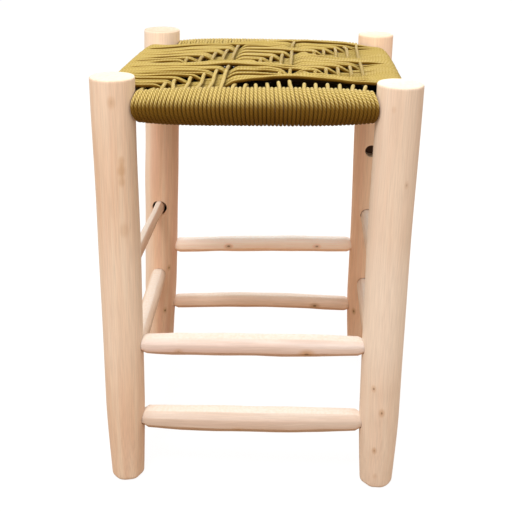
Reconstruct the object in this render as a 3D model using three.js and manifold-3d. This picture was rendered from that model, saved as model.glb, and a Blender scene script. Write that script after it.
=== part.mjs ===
// A counter stool of peeled poles with a seat of woven olive cord, in millimetres, +Z up.
// The origin lies on the floor under the middle of the stool's outline, the front faces -Y.
import * as THREE from 'three'
import { mergeVertices } from 'three/addons/utils/BufferGeometryUtils.js'
import Module from 'manifold-3d'

const wasm = await Module()
wasm.setup()

// Driving sizes of the frame
const stoolHeight = 600
const legSpacingAcross = 350
const legSpacingDeep = 368
const footTaperLength = 130
const footNarrowing = 10
const rimRound = 3
const jointClearance = 0.3
const cutOverrun = 20

// The four legs: shaft diameter, how far the foot stands out past the top, and a bow across at mid height
const legs = {
  front_left: { across: -1, deep: -1, diameter: 55.6, splayAcross: 10.6, splayDeep: 15, bow: 0.5 },
  front_right: { across: 1, deep: -1, diameter: 56.5, splayAcross: 15.3, splayDeep: 4.1, bow: -2 },
  back_left: { across: -1, deep: 1, diameter: 58.5, splayAcross: 28, splayDeep: 7.1, bow: 1 },
  back_right: { across: 1, deep: 1, diameter: 56.1, splayAcross: 14.9, splayDeep: 11.1, bow: 1 },
}
const legUnevenShare = 0.01
const legSides = 20
const legTwistTurns = 0.3

// Rails that carry the cord: the drop from the leg tops to the axis at their two ends, a bow sideways, the
// radius in the middle, and how much less it is at the ends. The two side rails are thinner poles
const railTenonRadius = 11
const railTenonDepth = 15
const railSides = 10
const rails = {
  front: { from: 'front_left', to: 'front_right', dropFrom: 36.2, dropTo: 28.6, bow: 0, radius: 18, endDrop: 4.5 },
  back: { from: 'back_left', to: 'back_right', dropFrom: 36, dropTo: 34, bow: 0, radius: 18, endDrop: 4.5 },
  left: { from: 'front_left', to: 'back_left', dropFrom: 30, dropTo: 35, bow: -1, radius: 16, endDrop: 2.5 },
  right: { from: 'front_right', to: 'back_right', dropFrom: 34, dropTo: 34, bow: 1, radius: 15, endDrop: 2 },
}
for (const rail of Object.values(rails)) {
  rail.heightFrom = stoolHeight - rail.dropFrom
  rail.heightTo = stoolHeight - rail.dropTo
}

// Hewn stretchers: heights of the axis at both ends, width and height in the middle and at the shoulders, the
// round hole for their tenons, and a lift at mid length
const stretcherTenonDepth = 32
const stretcherShoulder = 6
const stretchers = {
  front_upper: {
    from: 'front_left', to: 'front_right', heightFrom: 225.8, heightTo: 233.7,
    middle: [28, 30], shoulder: [25, 25], mortise: 23, lift: 0,
  },
  front_lower: {
    from: 'front_left', to: 'front_right', heightFrom: 103.3, heightTo: 109.1,
    middle: [32, 36], shoulder: [28, 30], mortise: 25, lift: -2,
  },
  back_upper: {
    from: 'back_left', to: 'back_right', heightFrom: 208, heightTo: 222.5,
    middle: [26, 27], shoulder: [24, 25], mortise: 23, lift: 2.3,
  },
  back_lower: {
    from: 'back_left', to: 'back_right', heightFrom: 89.7, heightTo: 97.2,
    middle: [26, 26], shoulder: [24, 25], mortise: 23, lift: 4.5,
  },
  left_upper: {
    from: 'front_left', to: 'back_left', heightFrom: 312, heightTo: 292,
    middle: [15, 22], shoulder: [15, 26], mortise: 26, lift: 3,
  },
  left_lower: {
    from: 'front_left', to: 'back_left', heightFrom: 161, heightTo: 161,
    middle: [27, 27], shoulder: [25, 26], mortise: 23, lift: 0,
  },
  right_upper: {
    from: 'front_right', to: 'back_right', heightFrom: 290, heightTo: 290,
    middle: [27, 27], shoulder: [25, 25], mortise: 26, lift: 2,
  },
  right_lower: {
    from: 'front_right', to: 'back_right', heightFrom: 160, heightTo: 153,
    middle: [29, 29], shoulder: [27, 28], mortise: 25, lift: 1,
  },
}

// A blind hole bored in the front of the back right leg and left empty
const spareHole = { leg: 'back_right', height: 409, diameter: 21, depth: 22 }

// The cord, and the turns that are laid side by side as one flat band
const cordDiameter = 5
const cordGap = 0.5
const layerGap = 0.4
const warpLoops = 20
const weftLoops = 20
const warpFieldMargin = 2
const weftFieldMargin = 0.4
const tailLength = 24
const narrowingRun = 12

// Finishes
const peeledWood = new THREE.MeshStandardMaterial({ color: '#dcb68f', roughness: 0.7, metalness: 0 })
const hewnWood = new THREE.MeshStandardMaterial({ color: '#e3bf98', roughness: 0.72, metalness: 0 })
const oliveCord = new THREE.MeshStandardMaterial({ color: '#b79c45', roughness: 0.75, metalness: 0 })

const turn = 2 * Math.PI
const up = new THREE.Vector3(0, 0, 1)
const right = new THREE.Vector3(1, 0, 0)
const away = new THREE.Vector3(0, 1, 0)

// A closed body through rings of points that run counterclockwise seen from the far end
function loft(rings) {
  const sides = rings[0].length
  const corners = []
  for (const ring of rings) {
    for (const p of ring) corners.push(p.x, p.y, p.z)
  }
  const middles = [rings[0], rings[rings.length - 1]].map((ring) => {
    const sum = ring.reduce((total, p) => total.add(p), new THREE.Vector3())
    return sum.divideScalar(sides)
  })
  for (const p of middles) corners.push(p.x, p.y, p.z)
  const firstMiddle = rings.length * sides
  const lastRing = (rings.length - 1) * sides
  const faces = []
  for (let j = 0; j < sides; j++) {
    const k = (j + 1) % sides
    faces.push(firstMiddle, k, j)
    faces.push(firstMiddle + 1, lastRing + j, lastRing + k)
    for (let i = 0; i < lastRing; i += sides) {
      faces.push(i + j, i + k, i + sides + k)
      faces.push(i + j, i + sides + k, i + sides + j)
    }
  }
  const geometry = new THREE.BufferGeometry()
  geometry.setAttribute('position', new THREE.Float32BufferAttribute(corners, 3))
  geometry.setIndex(faces)
  return geometry
}

// Turns a closed geometry into a solid that can be cut
function solid(geometry) {
  const bare = geometry.clone()
  bare.deleteAttribute('normal')
  bare.deleteAttribute('uv')
  const merged = mergeVertices(bare)
  const mesh = new wasm.Mesh({
    numProp: 3,
    vertProperties: new Float32Array(merged.attributes.position.array),
    triVerts: new Uint32Array(merged.index.array),
  })
  return new wasm.Manifold(mesh)
}

// Turns a cut solid back into a geometry
function geometryOf(body) {
  const mesh = body.getMesh()
  const geometry = new THREE.BufferGeometry()
  geometry.setAttribute('position', new THREE.Float32BufferAttribute(mesh.vertProperties, mesh.numProp))
  geometry.setIndex(new THREE.Uint32BufferAttribute(mesh.triVerts, 1))
  return geometry
}

// The point on a leg's middle line at a height
function legCentre(leg, height) {
  const share = 1 - height / stoolHeight
  const x = leg.across * (legSpacingAcross / 2 + leg.splayAcross * share) + leg.bow * Math.sin(Math.PI * share)
  const y = leg.deep * (legSpacingDeep / 2 + leg.splayDeep * share)
  return new THREE.Vector3(x, y, height)
}

// A leg thins towards its foot over the taper length
function legRadius(leg, height) {
  const share = Math.max(0, 1 - height / footTaperLength)
  return leg.diameter / 2 - (footNarrowing / 2) * share ** 1.5
}

// One level ring of a leg, a little out of round, with the high side creeping round the pole
function legRing(leg, height, inset) {
  const centre = legCentre(leg, height)
  const radius = legRadius(leg, height) - inset
  const ring = []
  for (let j = 0; j < legSides; j++) {
    const angle = turn * j / legSides
    const uneven = 1 + legUnevenShare * Math.cos(2 * angle + turn * legTwistTurns * height / stoolHeight)
    ring.push(new THREE.Vector3(
      centre.x + radius * uneven * Math.cos(angle),
      centre.y + radius * uneven * Math.sin(angle),
      height,
    ))
  }
  return ring
}

function legSolid(leg) {
  const rings = [legRing(leg, 0, rimRound), legRing(leg, rimRound, 0)]
  const taperShares = [0.33, 0.66, 1]
  for (const share of taperShares) rings.push(legRing(leg, footTaperLength * share, 0))
  const shaftShares = [0.25, 0.5, 0.75]
  for (const share of shaftShares) {
    rings.push(legRing(leg, footTaperLength + (stoolHeight - footTaperLength) * share, 0))
  }
  rings.push(legRing(leg, stoolHeight - rimRound, 0), legRing(leg, stoolHeight, rimRound))
  return solid(loft(rings))
}

// An axis between two legs, from tenon end to tenon end, with the directions of a section round it
function memberAxis(member, tenonDepth) {
  const fromLeg = legs[member.from]
  const toLeg = legs[member.to]
  const from = legCentre(fromLeg, member.heightFrom)
  const to = legCentre(toLeg, member.heightTo)
  const along = to.clone().sub(from).normalize()
  const start = from.clone().addScaledVector(along, legRadius(fromLeg, member.heightFrom) - tenonDepth)
  const end = to.clone().addScaledVector(along, tenonDepth - legRadius(toLeg, member.heightTo))
  const side = up.clone().cross(along).normalize()
  const rise = along.clone().cross(side)
  return { start, end, along, side, rise, length: start.distanceTo(end), tenonDepth }
}

// The hole for a member's tenon at one end, a round bore that stops a clearance past the tenon
function mortise(axis, diameter, sides, atStart) {
  const radius = diameter / 2 / Math.cos(Math.PI / sides)
  const length = axis.tenonDepth + jointClearance + cutOverrun
  const cutter = new THREE.CylinderGeometry(radius, radius, length, sides)
  cutter.rotateY(Math.PI / sides)
  const outward = atStart ? axis.along : axis.along.clone().negate()
  cutter.applyQuaternion(new THREE.Quaternion().setFromUnitVectors(away, outward))
  const tip = atStart ? axis.start : axis.end
  const middle = tip.clone().addScaledVector(outward, length / 2 - jointClearance)
  cutter.translate(middle.x, middle.y, middle.z)
  return solid(cutter)
}

// The middle line and radius of a rail at a distance from its tenon's tip. Only the part between the legs bows.
function railStation(axis, distance) {
  const share = (distance - axis.tenonDepth) / (axis.length - 2 * axis.tenonDepth)
  const clearShare = Math.min(1, Math.max(0, share))
  const centre = axis.start.clone().addScaledVector(axis.along, distance)
  centre.addScaledVector(axis.bowWay, axis.bow * Math.sin(Math.PI * clearShare))
  return { centre, radius: axis.radius - axis.endDrop * Math.abs(2 * clearShare - 1) ** 4 }
}

// Rails bow sideways in the level plane
function railAxis(rail) {
  const axis = memberAxis(rail, railTenonDepth)
  const place = Math.abs(axis.along.x) > Math.abs(axis.along.y) ? 'x' : 'y'
  const { bow, radius, endDrop } = rail
  return { ...axis, bow, radius, endDrop, place, bowWay: place === 'x' ? away : right }
}

// The same at a place given along the stool's own direction
function railAt(axis, place) {
  return railStation(axis, (place - axis.start[axis.place]) / axis.along[axis.place])
}

function railGeometry(axis) {
  const clear = axis.length - 2 * railTenonDepth
  const bodyShares = [0.02, 0.06, 0.12, 0.22, 0.36, 0.5, 0.64, 0.78, 0.88, 0.94, 0.98]
  const tenonAt = (distance) => ({ ...railStation(axis, distance), radius: railTenonRadius })
  const stations = [
    tenonAt(0),
    tenonAt(railTenonDepth),
    ...bodyShares.map((share) => railStation(axis, railTenonDepth + clear * share)),
    tenonAt(axis.length - railTenonDepth),
    tenonAt(axis.length),
  ]
  return loft(stations.map(({ centre, radius }) => {
    const ring = []
    for (let j = 0; j < railSides; j++) {
      const angle = turn * (j + 0.5) / railSides
      ring.push(centre.clone()
        .addScaledVector(axis.side, radius * Math.cos(angle))
        .addScaledVector(axis.rise, radius * Math.sin(angle)))
    }
    return ring
  }))
}

// The outline of a hewn billet, as shares of its half width and half height
const hewnOutlineShares = [
  [1, 0.42], [0.5, 1], [-0.5, 1], [-1, 0.42],
  [-1, -0.42], [-0.5, -1], [0.5, -1], [1, -0.42],
]

// A tenon has its shoulder's outline, pared down until its corners fit the round hole
function tenonSize(stretcher) {
  const [width, height] = stretcher.shoulder
  const reach = Math.max(...hewnOutlineShares.map(([w, h]) => Math.hypot(w * width / 2, h * height / 2)))
  const fit = (stretcher.mortise / 2 - jointClearance) / reach
  return [width * fit, height * fit]
}

// How full a hewn stretcher is at places along its clear length
const hewnFullnessShares = [[0.2, 0.96], [0.36, 1], [0.5, 0.97], [0.66, 1], [0.82, 0.95]]

function stretcherGeometry(stretcher, axis) {
  const clear = axis.length - 2 * stretcherTenonDepth
  const tenon = tenonSize(stretcher)
  const shoulder = stretcherTenonDepth + stretcherShoulder
  const stations = [
    { distance: 0, size: tenon },
    { distance: stretcherTenonDepth, size: tenon },
    { distance: shoulder, size: stretcher.shoulder },
    ...hewnFullnessShares.map(([place, fullness]) => ({
      distance: stretcherTenonDepth + clear * place,
      size: stretcher.middle.map((size) => size * fullness),
    })),
    { distance: axis.length - shoulder, size: stretcher.shoulder },
    { distance: axis.length - stretcherTenonDepth, size: tenon },
    { distance: axis.length, size: tenon },
  ]
  return loft(stations.map(({ distance, size }) => {
    const centre = axis.start.clone().addScaledVector(axis.along, distance)
    const share = Math.min(1, Math.max(0, (distance - shoulder) / (axis.length - 2 * shoulder)))
    centre.addScaledVector(axis.rise, stretcher.lift * Math.sin(Math.PI * share))
    return hewnOutlineShares.map(([w, h]) => centre.clone()
      .addScaledVector(axis.side, w * size[0] / 2)
      .addScaledVector(axis.rise, h * size[1] / 2))
  }))
}

// The frame's axes and its cut legs
const railAxes = Object.fromEntries(Object.entries(rails).map(([name, rail]) => [name, railAxis(rail)]))
const mortiseSides = 16
const cuts = Object.fromEntries(Object.keys(legs).map((name) => [name, []]))
for (const [name, rail] of Object.entries(rails)) {
  const diameter = 2 * (railTenonRadius + jointClearance)
  cuts[rail.from].push(mortise(railAxes[name], diameter, mortiseSides, true))
  cuts[rail.to].push(mortise(railAxes[name], diameter, mortiseSides, false))
}
const stretcherAxes = {}
for (const [name, stretcher] of Object.entries(stretchers)) {
  stretcherAxes[name] = memberAxis(stretcher, stretcherTenonDepth)
  cuts[stretcher.from].push(mortise(stretcherAxes[name], stretcher.mortise, mortiseSides, true))
  cuts[stretcher.to].push(mortise(stretcherAxes[name], stretcher.mortise, mortiseSides, false))
}

// The empty bore goes in from the front of its leg
function spareBore() {
  const leg = legs[spareHole.leg]
  const radius = spareHole.diameter / 2
  const length = spareHole.depth + cutOverrun
  const cutter = new THREE.CylinderGeometry(radius, radius, length, mortiseSides)
  const centre = legCentre(leg, spareHole.height)
  const face = centre.y - legRadius(leg, spareHole.height)
  cutter.translate(centre.x, face + spareHole.depth - length / 2, centre.z)
  return solid(cutter)
}
cuts[spareHole.leg].push(spareBore())

// The cord's layers and the places of its turns
const thickestLeg = Math.max(...Object.values(legs).map((leg) => leg.diameter))
const warpSpan = legSpacingDeep - thickestLeg - 2 * warpFieldMargin
const weftSpan = legSpacingAcross - thickestLeg - 2 * weftFieldMargin
const warpPitch = warpSpan / warpLoops
const weftPitch = weftSpan / weftLoops
const warpWidth = warpPitch - cordGap
const weftWidth = weftPitch - cordGap
const layerStep = cordDiameter + layerGap
const crossingReachShare = 0.6
const crossingReach = cordDiameter * crossingReachShare
const warpPlace = (band) => warpPitch * (band + 0.5) - warpSpan / 2
const weftPlace = (weft) => weftPitch * (weft + 0.5) - weftSpan / 2

// Five corners of a flat-sided half turn round a rail, each as a place across the rail and a height, from the top
// down, and the corner over the rail's inner side
const turnStep = Math.PI / 5
const turnAngles = [2, 1, 0, -1, -2].map((step) => step * turnStep)
function halfTurn(axis, place, width, outward) {
  const { centre } = railAt(axis, place)
  const bulges = [place - width / 2, place + width / 2].map((edge) => {
    const station = railAt(axis, edge)
    const drift = station.centre.clone().sub(centre)
    drift[axis.place] = 0
    return station.radius + drift.length()
  })
  const reach = Math.max(...bulges) + jointClearance + cordDiameter / 2
  const corner = reach / Math.cos(turnStep / 2)
  const middle = axis.place === 'x' ? centre.y : centre.x
  const corners = turnAngles.map((angle) => ({
    run: middle + outward * corner * Math.cos(angle),
    height: centre.z + corner * Math.sin(angle),
  }))
  const [top] = corners
  return { corners, inner: { run: 2 * middle - top.run, height: top.height } }
}

const warpTurns = []
for (let band = 0; band < warpLoops; band++) {
  const place = warpPlace(band)
  warpTurns.push({
    left: halfTurn(railAxes.left, place, warpWidth, -1),
    right: halfTurn(railAxes.right, place, warpWidth, 1),
  })
}
const weftTurns = []
for (let weft = 0; weft < weftLoops; weft++) {
  const place = weftPlace(weft)
  weftTurns.push({
    front: halfTurn(railAxes.front, place, weftWidth, -1),
    back: halfTurn(railAxes.back, place, weftWidth, 1),
  })
}

// The height of a weft's middle line on the seat
function weftHeight(weft, place) {
  const front = weftTurns[weft].front.corners[0]
  const back = weftTurns[weft].back.corners[0]
  return THREE.MathUtils.mapLinear(place, front.run, back.run, front.height, back.height)
}

// Where a weft floats over the warp bands: weft, first band and the band after the last
const floats = [
  [2, 0, 1], [3, 0, 2], [4, 0, 4], [5, 0, 5], [6, 0, 7], [7, 0, 9],
  [3, 12, 13], [4, 12, 14], [5, 12, 16], [6, 12, 18], [7, 12, 19],
  [12, 4, 5], [13, 4, 6],
  [10, 10, 11], [11, 10, 13], [12, 9, 14], [13, 8, 16],
  [13, 18, 19],
  [15, 4, 5], [16, 4, 6], [17, 3, 7], [18, 2, 7], [19, 2, 8],
  [15, 13, 15], [16, 13, 16], [17, 12, 17], [18, 11, 18], [19, 11, 19],
]
const weftIsOver = (weft, band) => floats.some(([w, first, end]) => w === weft && band >= first && band < end)

// The corners of a warp band's run across the seat, over and under the wefts
const supportShares = [0, 0.06, 0.15, 0.3, 0.7, 0.85, 0.94, 1]
const supports = supportShares.map((share) => Math.round(share * (weftLoops - 1)))
function warpRun(band) {
  const corners = []
  const corner = (weft, offset, under) => {
    const height = weftHeight(weft, warpPlace(band)) + (under ? -layerStep : layerStep)
    corners.push({ run: weftPlace(weft) + offset, height })
  }
  for (let weft = 0; weft < weftLoops; weft++) {
    const under = weftIsOver(weft, band)
    const changedBefore = weft > 0 && weftIsOver(weft - 1, band) !== under
    const changesAfter = weft < weftLoops - 1 ? weftIsOver(weft + 1, band) !== under : under
    if (changedBefore) corner(weft, -crossingReach, under)
    if (changesAfter) corner(weft, crossingReach, under)
    if (!changedBefore && !changesAfter && !under && supports.includes(weft)) corner(weft, 0, under)
  }
  const { left, right: farTurn } = warpTurns[band]
  if (corners[0].height < left.inner.height) corners[0] = left.inner
  if (corners[corners.length - 1].height < farTurn.inner.height) corners.push(farTurn.inner)
  return corners
}

// The winding of the warp goes over the seat from left to right and comes back underneath, one pitch further on
function warpPath() {
  const path = []
  const add = (band, corner) => {
    path.push({ point: new THREE.Vector3(corner.run, warpPlace(band), corner.height), width: warpWidth })
  }
  for (let band = 0; band < warpLoops; band++) {
    const { left, right: farTurn } = warpTurns[band]
    const rising = [...left.corners].reverse()
    const run = warpRun(band)
    if (band === 0) add(band, { run: rising[0].run + tailLength, height: rising[0].height })
    for (const corner of [...rising, ...run, ...farTurn.corners]) add(band, corner)
    const last = farTurn.corners[farTurn.corners.length - 1]
    if (band === warpLoops - 1) add(band, { run: last.run - tailLength, height: last.height })
  }
  return path
}

// Under the seat the wefts pass below every warp
function weftLowHeight(weft) {
  const heights = warpTurns.map(({ left, right: farTurn }) => {
    const near = left.corners[left.corners.length - 1]
    const far = farTurn.corners[farTurn.corners.length - 1]
    return THREE.MathUtils.mapLinear(weftPlace(weft), near.run, far.run, near.height, far.height)
  })
  return Math.min(...heights) - layerStep
}

// The winding of the wefts is three cords wide on its rails and one cord wide across the seat
function weftPath() {
  const path = []
  const add = (weft, run, height, width) => {
    path.push({ point: new THREE.Vector3(weftPlace(weft), run, height), width })
  }
  for (let weft = 0; weft < weftLoops; weft++) {
    const front = weftTurns[weft].front.corners
    const back = weftTurns[weft].back.corners
    const low = weftLowHeight(weft)
    const rising = [...front].reverse()
    const nearRun = rising[0].run + narrowingRun
    const farRun = back[0].run - narrowingRun
    if (weft === 0) add(weft, nearRun + tailLength, low, cordDiameter)
    add(weft, nearRun, low, cordDiameter)
    for (const { run, height } of rising) add(weft, run, height, weftWidth)
    add(weft, nearRun, weftHeight(weft, nearRun), cordDiameter)
    add(weft, farRun, weftHeight(weft, farRun), cordDiameter)
    for (const { run, height } of back) add(weft, run, height, weftWidth)
    add(weft, farRun, low, cordDiameter)
    if (weft === weftLoops - 1) add(weft, farRun - tailLength, low, cordDiameter)
  }
  return path
}

// A six-sided band along a winding, which stays square to the rails that it goes round
const bandEdgeShare = 0.29
function windingRings(path, across) {
  const normals = []
  for (let i = 0; i + 1 < path.length; i++) {
    normals.push(path[i + 1].point.clone().sub(path[i].point).cross(across).normalize())
  }
  return path.map(({ point, width }, i) => {
    const before = normals[Math.max(0, i - 1)]
    const after = normals[Math.min(normals.length - 1, i)]
    const outward = before.clone().add(after).divideScalar(1 + before.dot(after))
    const edge = width / 2
    const shoulder = edge - bandEdgeShare * cordDiameter
    const thick = cordDiameter / 2
    const outline = [
      [edge, 0], [shoulder, thick], [-shoulder, thick],
      [-edge, 0], [-shoulder, -thick], [shoulder, -thick],
    ]
    return outline.map(([w, n]) => point.clone().addScaledVector(across, w).addScaledVector(outward, n))
  })
}

// The least gap of a winding to itself, measured between points along its edges
function leastGap(rings, path, pieceWidth) {
  const samples = []
  const steps = 5
  let travelled = 0
  for (let i = 0; i + 1 < rings.length; i++) {
    const stretch = path[i].point.distanceTo(path[i + 1].point)
    for (let step = 0; step < steps; step++) {
      for (let j = 0; j < rings[i].length; j++) {
        const point = rings[i][j].clone().lerp(rings[i + 1][j], step / steps)
        samples.push({ point, at: travelled + stretch * step / steps })
      }
    }
    travelled += stretch
  }
  let least = Infinity
  for (let i = 0; i < samples.length; i++) {
    for (let j = i + 1; j < samples.length; j++) {
      if (samples[j].at - samples[i].at < 3 * pieceWidth) continue
      least = Math.min(least, samples[i].point.distanceToSquared(samples[j].point))
    }
  }
  return Math.sqrt(least)
}

function winding(name, path, across, width) {
  const rings = windingRings(path, across)
  console.log(`${name}: least gap to itself ${leastGap(rings, path, width).toFixed(2)} mm`)
  return loft(rings)
}

// The stool
const group = new THREE.Group()
group.name = 'stool'
function addPiece(name, geometry, material) {
  const mesh = new THREE.Mesh(geometry, material)
  mesh.name = name
  group.add(mesh)
}
for (const [name, leg] of Object.entries(legs)) {
  const cut = cuts[name].reduce((body, cutter) => body.subtract(cutter), legSolid(leg))
  addPiece(`leg_${name}`, geometryOf(cut), peeledWood)
}
for (const name of Object.keys(rails)) addPiece(`seat_rail_${name}`, railGeometry(railAxes[name]), peeledWood)
for (const [name, stretcher] of Object.entries(stretchers)) {
  addPiece(`stretcher_${name}`, stretcherGeometry(stretcher, stretcherAxes[name]), hewnWood)
}
addPiece('warp_cord', winding('warp_cord', warpPath(), away, warpWidth), oliveCord)
addPiece('weft_cord', winding('weft_cord', weftPath(), right.clone().negate(), weftWidth), oliveCord)

// The origin goes to the middle of the outline on the floor
const outline = new THREE.Box3().setFromObject(group)
const middle = outline.getCenter(new THREE.Vector3())
group.position.set(-middle.x, -middle.y, -outline.min.z)
group.updateMatrixWorld(true)

export default group
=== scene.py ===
# %% [markdown]
# A cord-seated stool of peeled poles
#
# The CAD frame fixes where each piece stands. This notebook gives every piece the surface that it has on
# the real stool: peeled round legs, hewn billets between them, and a seat woven from one thick olive cord.
# It works in millimetres, which become Blender's metres where a mesh is written.

# %% The frame
import math

import bmesh
import bpy
import numpy as np
from mathutils import Matrix, Vector


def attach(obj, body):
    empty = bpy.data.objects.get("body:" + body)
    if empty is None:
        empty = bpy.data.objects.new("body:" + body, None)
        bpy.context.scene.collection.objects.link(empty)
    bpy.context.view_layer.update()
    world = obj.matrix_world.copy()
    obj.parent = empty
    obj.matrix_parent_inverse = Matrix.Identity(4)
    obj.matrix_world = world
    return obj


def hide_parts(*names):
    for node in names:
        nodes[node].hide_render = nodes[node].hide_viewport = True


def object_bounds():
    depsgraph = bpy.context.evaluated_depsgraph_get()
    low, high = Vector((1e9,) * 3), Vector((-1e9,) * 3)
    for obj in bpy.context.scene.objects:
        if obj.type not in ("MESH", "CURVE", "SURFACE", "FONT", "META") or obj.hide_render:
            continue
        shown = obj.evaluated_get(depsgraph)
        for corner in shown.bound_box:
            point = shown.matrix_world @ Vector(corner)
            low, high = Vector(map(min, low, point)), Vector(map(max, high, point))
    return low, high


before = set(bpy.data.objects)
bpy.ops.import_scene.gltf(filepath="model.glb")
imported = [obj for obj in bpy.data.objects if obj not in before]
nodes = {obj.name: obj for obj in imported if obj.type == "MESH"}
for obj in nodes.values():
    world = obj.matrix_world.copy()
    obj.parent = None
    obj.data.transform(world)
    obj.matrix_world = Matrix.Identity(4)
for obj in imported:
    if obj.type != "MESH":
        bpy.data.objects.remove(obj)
frame_low, frame_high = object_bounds()
metre = 1000
print("frame from", frame_low, "to", frame_high)

# %% [markdown]
# The picture was taken from a little above the seat and slightly to the right, with a normal lens. The
# three directions below came from fitting the legs and stretchers of the frame to the picture. A camera can
# also be aimed at a target, but a matrix of three directions keeps the slight roll that the fit found.

# %% Camera
camera_place = (0.05898, -1.12813, 0.80336)
camera_right = (0.99826, 0.05754, 0.01262)
camera_up = (-0.03563, 0.41918, 0.9072)
camera_back = (0.04691, -0.90608, 0.42051)
camera_data = bpy.data.cameras.new("camera")
camera_data.lens = 54.84
camera_data.sensor_width = 36
camera = bpy.data.objects.new("camera", camera_data)
bpy.context.collection.objects.link(camera)
camera_turn = Matrix((camera_right, camera_up, camera_back)).transposed().to_4x4()
camera.matrix_world = Matrix.Translation(camera_place) @ camera_turn
bpy.context.scene.camera = camera
print("camera at", camera_place)

# %% [markdown]
# Every wooden piece runs from one disc to another: a leg from its foot to its sawn top, a stretcher or a
# rail from one tenon's end to the other's. Their places could be typed in again, but reading the discs'
# middles from the frame keeps both models together. A leg's discs are level, so a thin slice finds them,
# and a leaning tenon's disc needs a thicker slice.

# %% Where the legs stand
level_slice = 0.5
leaning_slice = 3.0


def disc_middles(node, slice_depth):
    """The middles of the end discs of a long CAD piece, the end with the lower coordinate first."""
    corners = np.array([v.co for v in nodes[node].data.vertices]) * metre
    corners = np.unique(corners.round(3), axis=0)
    way = np.ptp(corners, axis=0).argmax()
    along = corners[:, way]
    first = corners[along < along.min() + slice_depth]
    last = corners[along > along.max() - slice_depth]
    return first.mean(axis=0), last.mean(axis=0)


legs = {
    "front_left": {"diameter": 55.6, "bow": 0.5},
    "front_right": {"diameter": 56.5, "bow": -2.0},
    "back_left": {"diameter": 58.5, "bow": 1.0},
    "back_right": {"diameter": 56.1, "bow": 1.0},
}
leg_height = frame_high.z * metre
for name, leg in legs.items():
    leg["foot"], leg["top"] = disc_middles("leg_" + name, level_slice)
seat_origin = np.mean([leg["top"] for leg in legs.values()], axis=0) * (1, 1, 0)
print("legs", {name: (leg["foot"].round(1), leg["top"].round(1)) for name, leg in legs.items()})


def leg_centre(leg, height):
    """The middle of a leg at a height. Height may be an array."""
    share = np.asarray(height)[..., None] / leg_height
    centre = leg["foot"] + (leg["top"] - leg["foot"]) * share
    centre[..., 0] += leg["bow"] * np.sin(math.pi * (1 - share[..., 0]))
    return centre


# %% [markdown]
# Finishes are node graphs. They could be wired by hand in the shader editor. Here a small class lets their
# arithmetic be written as sums and products, and one method adds any other node, so a finish reads like the
# recipe that it is.

# %% Tools for finishes
class Socket:
    """The output of a node, with the arithmetic of a number."""

    def __init__(self, finish, output):
        self.finish = finish
        self.output = output

    def __add__(self, other):
        return self.finish.maths("ADD", self, other)

    def __radd__(self, other):
        return self.finish.maths("ADD", other, self)

    def __sub__(self, other):
        return self.finish.maths("SUBTRACT", self, other)

    def __rsub__(self, other):
        return self.finish.maths("SUBTRACT", other, self)

    def __mul__(self, other):
        return self.finish.maths("MULTIPLY", self, other)

    def __rmul__(self, other):
        return self.finish.maths("MULTIPLY", other, self)

    def __truediv__(self, other):
        return self.finish.maths("DIVIDE", self, other)

    def __rtruediv__(self, other):
        return self.finish.maths("DIVIDE", other, self)


class Finish:
    """A node graph under construction, for a material or the world."""

    def __init__(self, tree):
        self.tree = tree

    def add(self, kind, settings=None, inputs=None, output=0):
        """Adds a node with its settings, feeds its sockets and gives one of its outputs."""
        node = self.tree.nodes.new(kind)
        for key, value in (settings or {}).items():
            setattr(node, key, value)
        for key, value in (inputs or {}).items():
            self.feed(node.inputs[key], value)
        return Socket(self, node.outputs[output])

    def feed(self, target, value):
        """Links a socket to an input, or sets the input to a value. A colour of three gets its alpha."""
        if isinstance(value, Socket):
            self.tree.links.new(value.output, target)
        elif hasattr(target.default_value, "__len__") and len(value) == 3 and len(target.default_value) == 4:
            target.default_value = (*value, 1)
        else:
            target.default_value = value

    def maths(self, operation, *values):
        return self.add("ShaderNodeMath", {"operation": operation}, dict(enumerate(values)))

    def vector_maths(self, operation, inputs, output=0):
        return self.add("ShaderNodeVectorMath", {"operation": operation}, inputs, output)

    def ramp(self, value, low, high, start=0.0, end=1.0):
        """A smooth step from start to end as the value goes from low to high."""
        inputs = {"Value": value, "From Min": low, "From Max": high, "To Min": start, "To Max": end}
        return self.add("ShaderNodeMapRange", {"interpolation_type": "SMOOTHSTEP"}, inputs)

    def blend(self, factor, first, second):
        return self.add("ShaderNodeMix", {"data_type": "RGBA"}, {0: factor, 6: first, 7: second}, 2)

    def vector(self, x, y, z):
        return self.add("ShaderNodeCombineXYZ", {}, {"X": x, "Y": y, "Z": z})

    def parts(self, vector):
        node = self.tree.nodes.new("ShaderNodeSeparateXYZ")
        self.feed(node.inputs[0], vector)
        return [Socket(self, output) for output in node.outputs]

    def noise(self, vector, detail, distortion=0.0):
        inputs = {"Vector": vector, "Scale": 1.0, "Detail": detail, "Distortion": distortion}
        return self.add("ShaderNodeTexNoise", {}, inputs)

    def bump(self, strength, distance, height):
        return self.add("ShaderNodeBump", {}, {"Strength": strength, "Distance": distance, "Height": height})


def new_material(name):
    material = bpy.data.materials.new(name)
    material.use_nodes = True
    shader = material.node_tree.nodes["Principled BSDF"]
    return material, Finish(material.node_tree), shader


print("finish tools ready")
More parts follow.
